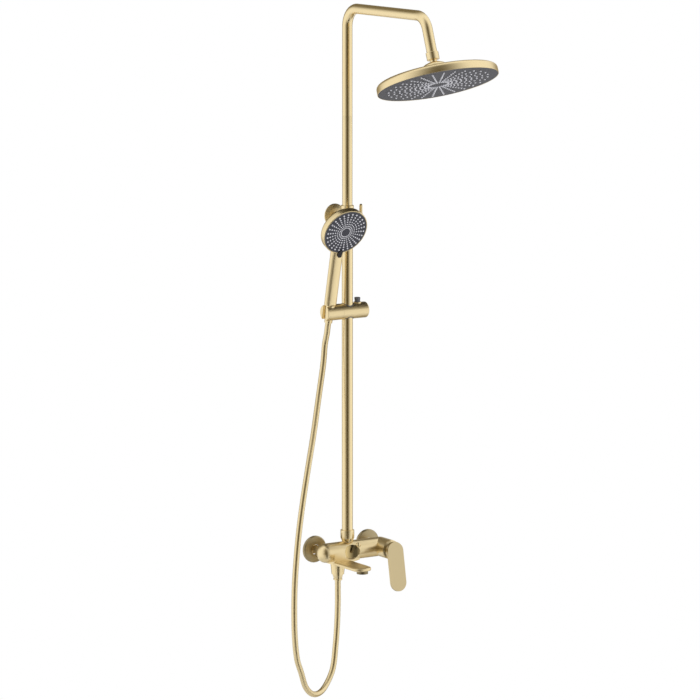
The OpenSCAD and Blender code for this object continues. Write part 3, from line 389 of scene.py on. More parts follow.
def brushed_metal(name, color, grain, roughness=0.3, fineness=1300.0, depth=0.003, shade=None):
    """Metal with fine brush marks: noise stretched along an axis varies roughness, tone and relief. A shade,
    where given, multiplies the tone as painted shade.
    """
    mat, tree, shader = new_finish(name)
    shader.inputs["Metallic"].default_value = 1.0
    spot = node(tree, "TexCoord").outputs["Object"]
    stretched = node(tree, "Mapping", {"Vector": spot, "Scale": grain}).outputs["Vector"]
    marks = noise(tree, stretched, fineness, 3.0, 0.6)
    clouds = noise(tree, spot, 14.0, 2.0)
    tone = spread(tree, marks, 0.95, 1.04)
    # Painted shade: a darkening by position, multiplied into the colour
    if shade:
        tone = number_of(tree, "MULTIPLY", shade(tree, spot), tone)
    rough = spread(tree, marks, roughness - 0.02, roughness + 0.03)
    dress(tree, shader, color, tone, number_of(tree, "MULTIPLY_ADD", clouds, 0.05, rough), marks, depth)
    return mat


def dish_painted_shade(tree, spot):
    """Painted shade of the dish: a tone that rises with the distance to the side of its darkest line."""
    x = node(tree, "SeparateXYZ", {"Vector": spot}).outputs["X"]
    aside = number_of(tree, "ABSOLUTE", number_of(tree, "SUBTRACT", x, DISH_DARK_X))
    return spread(tree, aside, *DISH_TONES, *DISH_REACH)


def moulded(name, color, roughness, gloss=0.5):
    """Plastic, rubber or ceramic with a fine even grain in tone, gloss and relief."""
    mat, tree, shader = new_finish(name)
    shader.inputs["Specular IOR Level"].default_value = gloss
    spot = node(tree, "TexCoord").outputs["Object"]
    grain = noise(tree, spot, 900.0, 2.0)
    clouds = noise(tree, spot, 25.0, 2.0)
    rough = spread(tree, grain, roughness - 0.07, roughness + 0.07)
    dress(tree, shader, color, spread(tree, clouds, 0.93, 1.07), rough, grain, 0.1)
    return mat


def wound_strip(name, color, roughness):
    """Metal strip wound round a hose: fine scratches run along it, by the piece's own map in metres."""
    mat, tree, shader = new_finish(name)
    shader.inputs["Metallic"].default_value = 1.0
    own_map = node(tree, "TexCoord").outputs["UV"]
    stretched = node(tree, "Mapping", {"Vector": own_map, "Scale": (4000.0, 60.0, 1.0)}).outputs["Vector"]
    marks = noise(tree, stretched, 1.0, 2.0)
    rough = spread(tree, marks, roughness - 0.05, roughness + 0.08)
    dress(tree, shader, color, spread(tree, marks, 0.90, 1.02), rough)
    return mat


def paper(name, color, inner, outer):
    """Matt floor that turns into the white of the background between two distances from its middle."""
    mat, tree, shader = new_finish(name)
    shader.inputs["Base Color"].default_value = (*color, 1.0)
    shader.inputs["Roughness"].default_value = 0.9
    spot = node(tree, "TexCoord").outputs["Object"]
    away = vector_of(tree, "LENGTH", spot, output="Value")
    seen = node(tree, "LightPath").outputs
    direct = number_of(tree, "MAXIMUM", seen["Is Camera Ray"], seen["Is Glossy Ray"])
    share = number_of(tree, "MULTIPLY", direct, spread(tree, away, 0.0, 1.0, inner, outer, "SMOOTHSTEP"))
    white = node(tree, "Emission", {"Color": WHITE, "Strength": 1.0})
    tree.links.new(mixed_shader(tree, share, shader, white), tree.nodes["Material Output"].inputs["Surface"])
    return mat


def finish_of(slot):
    """Material of a slot of the record or of a dressed piece, made when it is first asked for."""
    settings = bpy.context.scene.shower
    name = slot + "_finish"
    if name in bpy.data.materials:
        return bpy.data.materials[name]
    if slot in GOLDS:
        share, grain, matter, *relief = GOLDS[slot]
        color = [share * c for c in settings.gold]
        return brushed_metal(name, color, grain, settings.gold_roughness + matter, *relief)
    if slot == "hose_metal":
        return wound_strip(name, settings.gold, settings.gold_roughness)
    # The dish and the diverter's arm: darkened gold with a painted shade that is darkest along one line
    if slot == "recess":
        return brushed_metal(name, PAINTED_SHADE_GOLD, EVEN, settings.gold_roughness, 900.0, 0.004, dish_painted_shade)
    if slot in METALS:
        return brushed_metal(name, *METALS[slot])
    if slot == "face_grey":
        return moulded(name, settings.face_color, 0.42, gloss=0.12)
    if slot == "nozzle_rubber":
        return moulded(name, settings.nozzle_color, 0.5)
    return moulded(name, *MOULDINGS[slot])


def lathed(name, finish, profile, origin, direction, sides, loop=False, angle=35.0, hint=(1.0, 0.0, 0.0)):
    """Piece turned from a profile. With loop the profile meets itself, as round a tube's wall."""
    mesh = skin(name, turned(profile, origin, direction, sides, hint), loop)
    return place(name, mesh, finish_of(finish), angle)


# ---------- Settings ----------

class ShowerSettings(bpy.types.PropertyGroup):
    """Sizes and colours of the dressed shower column."""

    gold: bpy.props.FloatVectorProperty(
        name="Gold", description="Colour of the champagne-gold coating", subtype="COLOR",
        size=3, min=0.0, max=1.0, default=(0.905, 0.742, 0.432))
    gold_roughness: bpy.props.FloatProperty(
        name="Gold roughness", description="How matt the brushed coating is", min=0.08, max=0.6,
        default=0.21, subtype="FACTOR")
    face_color: bpy.props.FloatVectorProperty(
        name="Face plates", description="Colour of the two spray plates", subtype="COLOR",
        size=3, min=0.0, max=1.0, default=(0.075, 0.076, 0.092))
    nozzle_color: bpy.props.FloatVectorProperty(
        name="Nozzles", description="Colour of the rubber nozzles", subtype="COLOR",
        size=3, min=0.0, max=1.0, default=(0.88, 0.88, 0.93))
    hose_diameter: bpy.props.FloatProperty(
        name="Hose", description="Outer diameter of the hose", unit="LENGTH", min=0.010, max=0.016,
        default=0.014)
    hose_pitch: bpy.props.FloatProperty(
        name="Hose pitch", description="Width of one turn of the wound strip", unit="LENGTH",
        min=0.0018, max=0.005, default=0.0026)
    floor_drop: bpy.props.FloatProperty(
        name="Floor", description="How far the floor lies below the inlets", unit="LENGTH", min=0.5,
        max=1.6, default=1.05)
    lamp_power: bpy.props.FloatProperty(
        name="Lamps", description="Power of each soft lamp", unit="POWER", min=0.0, max=200.0, default=34.0)


class ShowerPiece:
    """What every operator of this file shares."""

    bl_options = {"REGISTER", "UNDO"}


# ---------- Stage ----------

CAMERA_AIM = (-0.01147, -0.06, 0.4835)
CAMERA_AZIMUTH = math.radians(-32.6)
CAMERA_ELEVATION = math.radians(8.8)
CAMERA_DISTANCE = 9.757
CAMERA_LENS = 211.9
SOFT_LIGHT = 0.62
LAMP_AZIMUTHS = {"lamp_left": math.radians(-108), "lamp_right": math.radians(50)}
LAMP_ELEVATION = math.radians(14)
LAMP_DISTANCE = 3.6
LAMP_SIZE = (2.4, 3.2)
FLOOR_RADIUS = 3.0
FLOOR_FADE = (1.2, 2.9)
# What the metal sees beside white: azimuth, elevation, how much heights count, tone, and the angles where the
# tone starts and ends to fade, all angles in degrees
ZONES = (
    (-32, 0, 0.35, (0.07, 0.05, 0.010), 4, 76),
    (175, 32, 1.0, (0.19, 0.16, 0.10), 16, 54),
    (140, 30, 1.0, (0.12, 0.10, 0.05), 5, 20),
    (168, -8, 1.0, (0.25, 0.20, 0.10), 10, 34),
    (120, -8, 1.0, (0.25, 0.20, 0.10), 8, 34),
)
# Dark sheets of the studio that only the metal sees, and only from their front: height, corners, the middle
# that the tone is measured from, the distances where it starts and ends to rise, and its two values
SHEETS = {
    "flag": (1.04, ((0.45, -1.45), (0.20, -0.70), (-0.12, -0.30), (-0.12, 0.30), (0.20, 1.30), (0.90, 1.30),
                    (0.60, 0.50), (0.50, 0.10), (0.52, -0.40), (0.74, -0.95), (0.92, -1.45)),
             (0.32, 0.15), (0.35, 1.5), (0.03, 0.42)),
    "dark_strip": (-1.04, ((0.0, -0.45), (-2.08, -2.07), (-1.23, -2.72), (-0.20, -2.99)),
                   (0.0, 0.0), (1.0, 3.0), (0.035, 0.06)),
    "dark_floor": (-1.04, ((0.35, -0.35), (1.9, -0.35), (1.9, 1.9), (0.35, 1.9)),
                   (0.3, -0.1), (0.3, 1.2), (0.62, 0.2)),
}
SHEET_COLOR = (1.0, 0.9, 0.7, 1.0)


def direction_at(azimuth, elevation):
    """Unit vector from the object: azimuth 0 is straight out of the wall, positive to the right."""
    level = math.cos(elevation)
    return mathutils.Vector((math.sin(azimuth) * level, -math.cos(azimuth) * level, math.sin(elevation)))


def looks_from(obj, azimuth, elevation, distance):
    """Puts an object at a distance from the column's middle and turns its -Z there, with its Y up."""
    aim = mathutils.Vector(CAMERA_AIM)
    obj.location = aim + direction_at(azimuth, elevation) * distance
    obj.rotation_euler = (aim - obj.location).to_track_quat("-Z", "Y").to_euler()


def lamp(name, azimuth, power):
    """Large soft lamp turned to the middle of the column."""
    data = bpy.data.lights.new(name, "AREA")
    data.shape = "RECTANGLE"
    data.size, data.size_y = LAMP_SIZE
    data.energy = power
    obj = linked(name, data)
    looks_from(obj, azimuth, LAMP_ELEVATION, LAMP_DISTANCE)
    obj.visible_glossy = False


def flat(name, corners, material):
    """Stage object that is one polygon, given by its corners."""
    mesh = bpy.data.meshes.new(name)
    mesh.from_pydata(corners, [], [list(range(len(corners)))])
    mesh.materials.append(material)
    obj = linked(name, mesh)
    return obj


def dark_sheet(name, height, corners, middle, reach, tones):
    """Level sheet for the metal's reflections: its tone rises with distance from its middle."""
    mat, tree, shader = new_finish(name)
    tree.nodes.remove(shader)
    spot = node(tree, "TexCoord").outputs["Object"]
    away = vector_of(tree, "DISTANCE", spot, (*middle, height), output="Value")
    dim = node(tree, "Emission", {"Color": SHEET_COLOR, "Strength": spread(tree, away, *tones, *reach)})
    clear = node(tree, "BsdfTransparent")
    behind = node(tree, "NewGeometry").outputs["Backfacing"]
    tree.links.new(mixed_shader(tree, behind, dim, clear), tree.nodes["Material Output"].inputs["Surface"])
    sheet = flat(name, [(*corner, height) for corner in corners], mat)
    sheet.visible_camera = sheet.visible_diffuse = sheet.visible_transmission = sheet.visible_shadow = False
    sheet.visible_volume_scatter = False


def mixed_color(tree, share, first, second):
    """Colour between two others, the second where the share is 1."""
    return node(tree, "Mix", {"Factor": share, 6: first, 7: second}, data_type="RGBA").outputs[2]


def studio_tone(tree, seen):
    """Colour of the surroundings by direction: white, and for glossy rays the darker zones of the studio."""
    direction = node(tree, "TexCoord").outputs["Generated"]
    tone = WHITE
    for azimuth, elevation, height, color, inner, outer in ZONES:
        squashed = vector_of(tree, "MULTIPLY", direction, (1.0, 1.0, height))
        aim = direction_at(math.radians(azimuth), math.radians(elevation))
        near = vector_of(tree, "DOT_PRODUCT", vector_of(tree, "NORMALIZE", squashed), aim, output="Value")
        fade = spread(tree, number_of(tree, "ARCCOSINE", near), 0.0, 1.0, math.radians(inner),
                      math.radians(outer), "SMOOTHSTEP")
        tone = mixed_color(tree, fade, (*color, 1.0), tone)
    return mixed_color(tree, seen["Is Glossy Ray"], WHITE, tone)


class SHOWER_OT_stage(ShowerPiece, bpy.types.Operator):
    """Makes the camera, the floor, the surroundings with their dark zones and sheets, and the soft lamps"""

    bl_idname = "shower.stage"
    bl_label = "Stage"

    def execute(self, context):
        scene = context.scene
        settings = scene.shower
        scene.view_settings.view_transform = "Standard"
        camera = bpy.data.cameras.new("camera")
        camera.sensor_width = 36.0
        camera.lens = CAMERA_LENS
        camera.clip_start, camera.clip_end = 0.1, 60.0
        scene.camera = linked("camera", camera)
        looks_from(scene.camera, CAMERA_AZIMUTH, CAMERA_ELEVATION, CAMERA_DISTANCE)

        scene.world = bpy.data.worlds.new("surroundings")
        scene.world.use_nodes = True
        tree = scene.world.node_tree
        tree.nodes.clear()
        seen = node(tree, "LightPath").outputs
        shown = number_of(tree, "MAXIMUM", seen["Is Camera Ray"], seen["Is Glossy Ray"])
        shown = number_of(tree, "MAXIMUM", shown, seen["Is Transmission Ray"])
        light = node(tree, "Background", {"Color": WHITE, "Strength": SOFT_LIGHT})
        backdrop = node(tree, "Background", {"Color": studio_tone(tree, seen), "Strength": 1.0})
        node(tree, "OutputWorld", {"Surface": mixed_shader(tree, shown, light, backdrop)})

        turn = full_turn(96)
        ring = np.stack([FLOOR_RADIUS * np.cos(turn), FLOOR_RADIUS * np.sin(turn), 0 * turn], 1)
        floor = flat("floor", ring.tolist(), paper("floor", (0.86, 0.86, 0.86), *FLOOR_FADE))
        floor.location = (0.0, -0.2, -settings.floor_drop)
        for name, sheet in SHEETS.items():
            dark_sheet(name, *sheet)
        for name, azimuth in LAMP_AZIMUTHS.items():
            lamp(name, azimuth, settings.lamp_power)
        return {"FINISHED"}


# ---------- Hose ----------

# Points that the hose follows from the outlet below the mixer to the cone nut, in millimetres
HOSE_ROUTE = [
    (-44, -57, -69), (-44, -57, -90), (-44, -57, -125), (-46, -57, -175), (-52, -60, -224), (-65, -68, -279),
    (-90, -78, -314), (-119, -93, -328), (-150, -109, -323), (-176, -122, -300), (-195, -133, -261),
    (-210, -139, -225), (-219, -144, -170), (-221, -145, -110), (-219, -144, -50), (-212, -140, 10),
    (-201, -134, 75), (-185, -126, 145), (-162, -112, 220), (-128, -84, 300), (-97, -57, 380),
    (-76, -43, 451), (-69, -39.5, 497),
    handle_point(0, 0, -52.5), handle_point(0, 0, -38.5), handle_point(0, 0, -24.5),
]
# Length of the last stretch, and depth of the groove
HOSE_NECK = 98.0
HOSE_GROOVE = 0.3
ROWS_PER_TURN = 6
# Stretch of hose between holder and hand shower: its reach along the handle, rows, sides and map's size
SLEEVE_REACH = (-27, -18)
SLEEVE_ROWS, SLEEVE_SIDES = 19, 32
SLEEVE_MAP = (0.01, 0.04)


def hose_surface(path, start, radius, pitch, sides=20):
    """Tube whose radius dips along a helix: r = R - g * (1 - |cos(pi * (s / pitch - turn))|) ** 2."""
    surface = piped(path, 1.0, sides)
    centre = path[:, None]
    length = start + distances(path)
    turn = np.arange(sides) / sides
    wave = np.abs(np.cos(math.pi * (length[:, None] / pitch - turn[None])))
    bulge = radius - HOSE_GROOVE * (1 - wave) ** 2
    return centre + (surface - centre) * bulge[..., None], length


def map_of(mesh, rows, cols, along, across):
    """Map in metres on a tube's walls: along the row's length and across by the turn."""
    layer = mesh.uv_layers.new(name="UVMap")
    count = (rows - 1) * cols
    i, j = np.divmod(np.arange(count), cols)
    u = np.stack([along[i], along[i], along[i + 1], along[i + 1]], 1)
    v = np.stack([j, j + 1, j + 1, j], 1) / cols * across
    spots = np.zeros((len(mesh.loops), 2), np.float32)
    spots[: count * 4] = np.stack([u.ravel(), v.ravel()], 1)
    layer.data.foreach_set("uv", spots.ravel())


class SHOWER_OT_hose(ShowerPiece, bpy.types.Operator):
    """Makes the wound metal hose in stretches: the main run, the neck, and the sleeve between holder and hand
    shower
    """

    bl_idname = "shower.hose"
    bl_label = "Hose"

    def execute(self, context):
        settings = context.scene.shower
        radius = settings.hose_diameter / 2 / MM
        pitch = settings.hose_pitch / MM
        fine = smooth_path(HOSE_ROUTE, 24)
        path, whole = even_path(fine, int(distances(fine)[-1] / pitch * ROWS_PER_TURN))
        step = whole / (len(path) - 1)
        split = len(path) - 1 - int(HOSE_NECK / step)
        made = []
        stretches = (("hose_main", path[: split + 1], 0.0), ("hose_neck", path[split:], split * step))
        for name, points, start in stretches:
            surface, length = hose_surface(points, start, radius, pitch)
            mesh = skin(name, surface)
            map_of(mesh, len(points), surface.shape[1], length * MM, 2 * math.pi * radius * MM)
            obj = place(name, mesh, finish_of("hose_metal"), 60)
            made.append((obj, points))
        (main, _), (neck, neck_path) = made
        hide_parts("shower_hose")
        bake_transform(main)
        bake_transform(neck)
        for obj, points in made:
            length = (len(points) - 1) * step
        sleeve_path = np.array([handle_point(0, 0, w) for w in np.linspace(*SLEEVE_REACH, SLEEVE_ROWS)])
        sleeve = skin("hose_sleeve", piped(sleeve_path, radius - 0.6, SLEEVE_SIDES))
        map_of(sleeve, SLEEVE_ROWS, SLEEVE_SIDES, np.linspace(0, SLEEVE_MAP[0], SLEEVE_ROWS), SLEEVE_MAP[1])
        sleeve = place("hose_sleeve", sleeve, finish_of("hose_metal"), 60)
        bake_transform(sleeve)
        return {"FINISHED"}


# ---------- Riser ----------

LOWER_RADIUS = 13.0
UPPER_RADIUS = 12.0
TUBE_WALL = 1.5
BEND_RADIUS = 44.0
# Heights of the lower tube's rings from foot to top, foot of the upper tube, and length of its leaning leg
LOWER_RINGS = (38.0, 300.0, 560.0, 815.0)
UPPER_FOOT = 560.0
LEG_LENGTH = 98.0


def bent(corners, radius, steps=28):
    """Line through corners in space, each turned by an arc that touches both its sides."""
    corners = np.array(corners, float)
    out = [corners[:1]]
    for before, here, after in zip(corners, corners[1:], corners[2:]):
        a, b = unit(before - here), unit(after - here)
        half = math.acos(float(a @ b)) / 2
        centre = here + unit(a + b) * radius / math.sin(half)
        first = here + a * radius / math.tan(half) - centre
        last = here + b * radius / math.tan(half) - centre
        sweep = math.pi - 2 * half
        t = np.linspace(0, 1, steps)[:, None]
        out.append(centre + (np.sin((1 - t) * sweep) * first + np.sin(t * sweep) * last) / math.sin(sweep))
    out.append(corners[-1:])
    return np.concatenate(out)


def evened(path, longest=60.0):
    """The same line with points added so that no straight stretch is longer than asked."""
    out = [path[:1]]
    for a, b in zip(path[:-1], path[1:]):
        count = max(1, int(np.linalg.norm(b - a) / longest))
        out.append(a + (b - a) * np.arange(1, count + 1)[:, None] / count)
    return np.concatenate(out)


class SHOWER_OT_riser(ShowerPiece, bpy.types.Operator):
    """Makes the two riser tubes, the bent arm among them"""

    bl_idname = "shower.riser"
    bl_label = "Riser and arm"

    def execute(self, context):
        inner = LOWER_RADIUS - TUBE_WALL
        wall = np.array([(inner, LOWER_RINGS[0]), *((LOWER_RADIUS, z) for z in LOWER_RINGS),
                         (inner, LOWER_RINGS[-1])])
        stand_in(lathed("lower_tube", "gold", wall, (*RISER, 0.0), (0, 0, 1), 64, loop=True), "lower_riser")
        corners = [(*RISER, UPPER_FOOT), (*RISER, LEG_CORNER[2]), LEG_CORNER, leg_point(LEG_LENGTH)]
        path = evened(bent(corners, BEND_RADIUS))
        outer = piped(path, UPPER_RADIUS, 64)
        inner = piped(path, UPPER_RADIUS - TUBE_WALL, 64)
        mesh = skin("arm_tube", np.concatenate([outer, inner[::-1]]), loop=True)
        stand_in(place("arm_tube", mesh, finish_of("gold")), "upper_riser")
        return {"FINISHED"}


# ---------- Rain head ----------

HEAD_RADIUS = 140.0
HEAD_SPOKES, HEAD_RINGS = 28, 9
# Distances down the leg: top of the casing, back and front of the plate, and the casing's lower edge
CROWN_S, PLATE_BACK, PLATE_FRONT, FACE_S = 128.0, 157.4, 160.6, 161.0
DOME_RADIUS = 28.0


class SHOWER_OT_rain_head(ShowerPiece, bpy.types.Operator):
    """Makes the rain head: its dome, casing, spray plate and nozzles"""

    bl_idname = "shower.rain_head"
    bl_label = "Rain head"

    def execute(self, context):
        profile = rounded([(11.7, 109.6, 0), (14.4, 109.4, 1), (25.0, 113.6, 7), (DOME_RADIUS, 122.0, 4),
                           (DOME_RADIUS, CROWN_S + 1.4, 0), (15.9, CROWN_S + 1.4, 0)])
        stand_in(lathed("head_dome", "gold", profile, LEG_CORNER, LEG, 96, loop=True), "head_collar")
        profile = rounded([(15.0, CROWN_S, 0), (23.0, CROWN_S, 0), (HEAD_RADIUS, 141.4, 8.5),
                           (HEAD_RADIUS, FACE_S, 0.8), (139.0, FACE_S, 0.3), (138.7, FACE_S - 3.0, 0),
                           (138.7, 152.0, 0), (15.0, 150.0, 0)])
        casing = lathed("head_casing", "gold_plastic", profile, LEG_CORNER, LEG, 160, loop=True)
        stand_in(casing, "rain_head_casing")
        profile = rounded([(3.0, PLATE_BACK, 0), (138.6, PLATE_BACK, 0), (138.6, PLATE_FRONT + 0.1, 0.6),
                           (136.0, PLATE_FRONT + 0.1, 0), (3.0, PLATE_FRONT, 0)])
        stand_in(lathed("rain_plate", "face_grey", profile, LEG_CORNER, LEG, 160), "rain_head_face")
        axes = axes_along(LEG)
        spots, size = spoked(HEAD_SPOKES, HEAD_RINGS, HEAD_RADIUS * 0.17, HEAD_RADIUS * 0.82)
        nozzle = turned(rounded([(2.1, -2.0, 0), (2.1, 0.3, 0), (1.95, 1.8, 0.5), (1.2, 2.6, 0)], 3),
                        (0, 0, 0), (0, 0, 1), 10)
        mesh = repeated("rain_nozzles", nozzle, (spots @ axes.T + leg_point(PLATE_FRONT), axes, size))
        stand_in(place("rain_nozzles", mesh, finish_of("nozzle_rubber"), 60), "rain_head_nozzles")
        return {"FINISHED"}


# ---------- Hand shower ----------

SPRAY_RADIUS = 58.0
SPRAY_SPOKES, SPRAY_RINGS = 26, 7
FACE_OUT, FACE_UP = 26.0, 209.0
# Height up the handle, half width, front and back: each level is a superellipse of power 2.3
HANDLE = np.array([
    (19.6, 15.0, 8.6, -10.6), (22.0, 15.4, 9.0, -11.0), (60.0, 15.5, 9.0, -11.0), (110.0, 15.5, 9.0, -11.0),
    (150.0, 15.6, 9.6, -10.9), (166.0, 16.6, 11.5, -10.0), (182.0, 17.8, 14.0, -8.6),
    (198.0, 17.0, 16.5, -5.0), (208.0, 14.0, 17.0, 1.0), (214.0, 8.0, 16.0, 6.0)])


def spray_axes():
    """Origin and axes of the hand shower's spray plate: x to the right, y up the plate, z out of it."""
    tilt = HANDSET_LEAN + FACE_TILT
    return np.array(handle_point(0, FACE_OUT, FACE_UP)), axes_along((0.0, -math.cos(tilt), -math.sin(tilt)))


class SHOWER_OT_hand_shower(ShowerPiece, bpy.types.Operator):
    """Makes the hand shower: its handle, casing, spray plate with its ring and tab, and nozzles"""

    bl_idname = "shower.hand_shower"
    bl_label = "Hand shower"

    def execute(self, context):
        origin, axes = spray_axes()
        out = axes[:, 2]

        w = np.linspace(HANDLE[0, 0], HANDLE[-1, 0], 60)
        half, front, back = (np.interp(w, HANDLE[:, 0], HANDLE[:, k]) for k in (1, 2, 3))
        kernel = np.array([1, 2, 3, 2, 1]) / 9
        half, front, back = (np.concatenate([v[:2], np.convolve(v, kernel, "valid"), v[-2:]])
                             for v in (half, front, back))
        across, deep = squared(full_turn(72), 2 / 2.3)
        x = half[:, None] * across
        v = (front + back)[:, None] / 2 + (front - back)[:, None] / 2 * deep
        grid = np.stack(handle_point(x, v, np.broadcast_to(w[:, None], x.shape)), axis=-1)
        mesh = skin("handle", grid[:, ::-1])
        stand_in(place("handle", mesh, finish_of("gold_plastic")), "handset_body")

        profile = rounded([(4.0, -29.0, 0), (20.0, -28.2, 60), (47.0, -24.4, 12), (SPRAY_RADIUS, -16.5, 8),
                           (SPRAY_RADIUS, 0.0, 1.2), (56.0, 0.2, 0.6), (55.7, -2.0, 0), (55.7, -8.0, 0),
                           (4.0, -8.0, 0)])
        casing = lathed("spray_casing", "gold_plastic", profile, origin, out, 128)
        beside(casing, "handset_body")

        profile = rounded([(3.0, -6.0, 0), (53.6, -6.0, 0), (53.6, 0.2, 0.6), (46.0, 0.5, 0), (3.0, 0.6, 0)])
        stand_in(lathed("spray_plate", "face_grey", profile, origin, out, 128), "handset_face")
        profile = rounded([(53.7, -6.0, 0), (55.3, -6.0, 0), (55.3, 0.5, 0.5), (53.7, 0.5, 0.5),
                           (53.7, -2.0, 0)])
        ring = lathed("spray_ring", "plastic_grey", profile, origin, out, 128, loop=True)
        beside(ring, "handset_face")

        inner, outer = SPRAY_RADIUS * 0.21, SPRAY_RADIUS * 0.84
        spots, size = spoked(SPRAY_SPOKES, SPRAY_RINGS, inner, outer, (0.72, 1.12))
        nozzle = turned(rounded([(1.9, -2.0, 0), (1.9, 0.4, 0), (1.75, 1.4, 0.4), (1.1, 1.9, 0)], 3),
                        (0, 0, 0), (0, 0, 1), 10)
        mesh = repeated("spray_nozzles", nozzle, (spots @ axes.T + origin, axes, size))
        stand_in(place("spray_nozzles", mesh, finish_of("nozzle_rubber"), 60), "handset_nozzles")

        # Tab: a rounded bar from the plate's lower edge over the casing's rim
        length = np.array([-68.0, -67.4, -65.5, -56.0, -50.0, -49.4])
        swell = np.array([0.55, 0.85, 1.0, 1.0, 1.0, 0.9])
        across, deep = squared(full_turn(32), 0.6)
        half, thick, out_by = 5.0, 2.1, 2.9
        local = np.stack([swell[:, None] * across * half, np.broadcast_to(length[:, None], (6, 32)),
                          swell[:, None] * deep * thick + out_by], axis=-1)
        mesh = skin("spray_tab", (local @ axes.T + origin)[:, ::-1])
        beside(place("spray_tab", mesh, finish_of("rubber_black"), 45), "handset_face")
        return {"FINISHED"}


# ---------- Slider ----------

BUTTON_X = 11.0
SLIDER_RADIUS = 19.0


class SHOWER_OT_slider(ShowerPiece, bpy.types.Operator):
    """Makes the slider's bush and button, and smooths its body and holder"""

    bl_idname = "shower.slider"
    bl_label = "Slider"

    def execute(self, context):
        merged("slider_body", "slider_casing")
        merged("handset_holder", "holder_casing")
        # Sleeve whose ends follow the casing and stand out by p: height = sqrt((R + p)^2 - (r * sin(turn))^2)
        turn = full_turn(96)
        proud = 0.4
        rows = []
        for radius, side in ((13.1, -1), (14.3, -1), (14.3, 1), (13.1, 1)):
            height = np.sqrt((SLIDER_RADIUS + proud) ** 2 - (radius * np.sin(turn)) ** 2) * side
            rows.append(np.stack([RISER[0] + radius * np.cos(turn), RISER[1] + radius * np.sin(turn),
                                  SLIDER_Z + height], axis=1))
        mesh = skin("slider_sleeve", np.array(rows), loop=True)
        stand_in(place("slider_sleeve", mesh, finish_of("plastic_grey")), "slider_bush")
        profile = rounded([(2.0, 15.8, 0), (6.6, 15.8, 0), (6.7, 25.0, 0), (7.2, 27.0, 1.0), (7.2, 30.9, 1.2),
                           (5.0, 31.0, 0), (2.0, 30.6, 0)])
        foot = (BUTTON_X, RISER[1], SLIDER_Z)
        stand_in(lathed("slider_button", "plastic_grey", profile, foot, (0, 0, 1), 48), "release_button")
        return {"FINISHED"}


# ---------- Mixer and fittings ----------

# Solids whose shape stays as it is, with the name of the dressed piece
SMOOTHED = {
    "wall_union_left": "union_left", "wall_union_right": "union_right", "mixer_body": "mixer_casting",
    "aerator_ring": "aerator_rim", "hose_outlet": "outlet_skirt", "cartridge_bonnet": "bonnet",
    "lever_handle": "lever", "cartridge_spindle": "spindle", "riser_nut": "socket_nut",
    "bracket_base": "bracket_post", "bracket_rosette": "bracket_cover", "bracket_arm": "bracket_clamp",
    "lock_collar": "lock_ring", "lock_lever": "lock_handle", "arm_end_nut": "arm_nut",
    "ball_fitting": "ball_joint", "hose_cone_nut": "cone_nut",
}
# Copies with another finish than their solid's
CAST = dict.fromkeys(("mixer_body", "wall_union_left", "wall_union_right", "bracket_base", "bracket_arm",
                      "cartridge_bonnet"), "gold_cast")
# The lever's and the aerator rim's finishes are the gold darkened as painted shade
OTHER_FINISH = {**CAST, "lever_handle": "lever", "bracket_rosette": "plate_gold", "aerator_ring": "rim"}
INLET_X = 75.0
SPOUT_X, SPOUT_HALF = -44.0, 23.5
# The bar: how far its axis and its front stand out, and its radius
BAR_AXIS, BAR_RADIUS = 57.0, 23.0
BAR_OUT = BAR_AXIS + BAR_RADIUS
# The dish in the bar: its radius, that of its bore, and the sphere it is cut with, by radius and centre
DISH_RADIUS, BORE_RADIUS = 20.0, 12.3
BOWL_RADIUS, BOWL_OUT = 24.0, 91.0


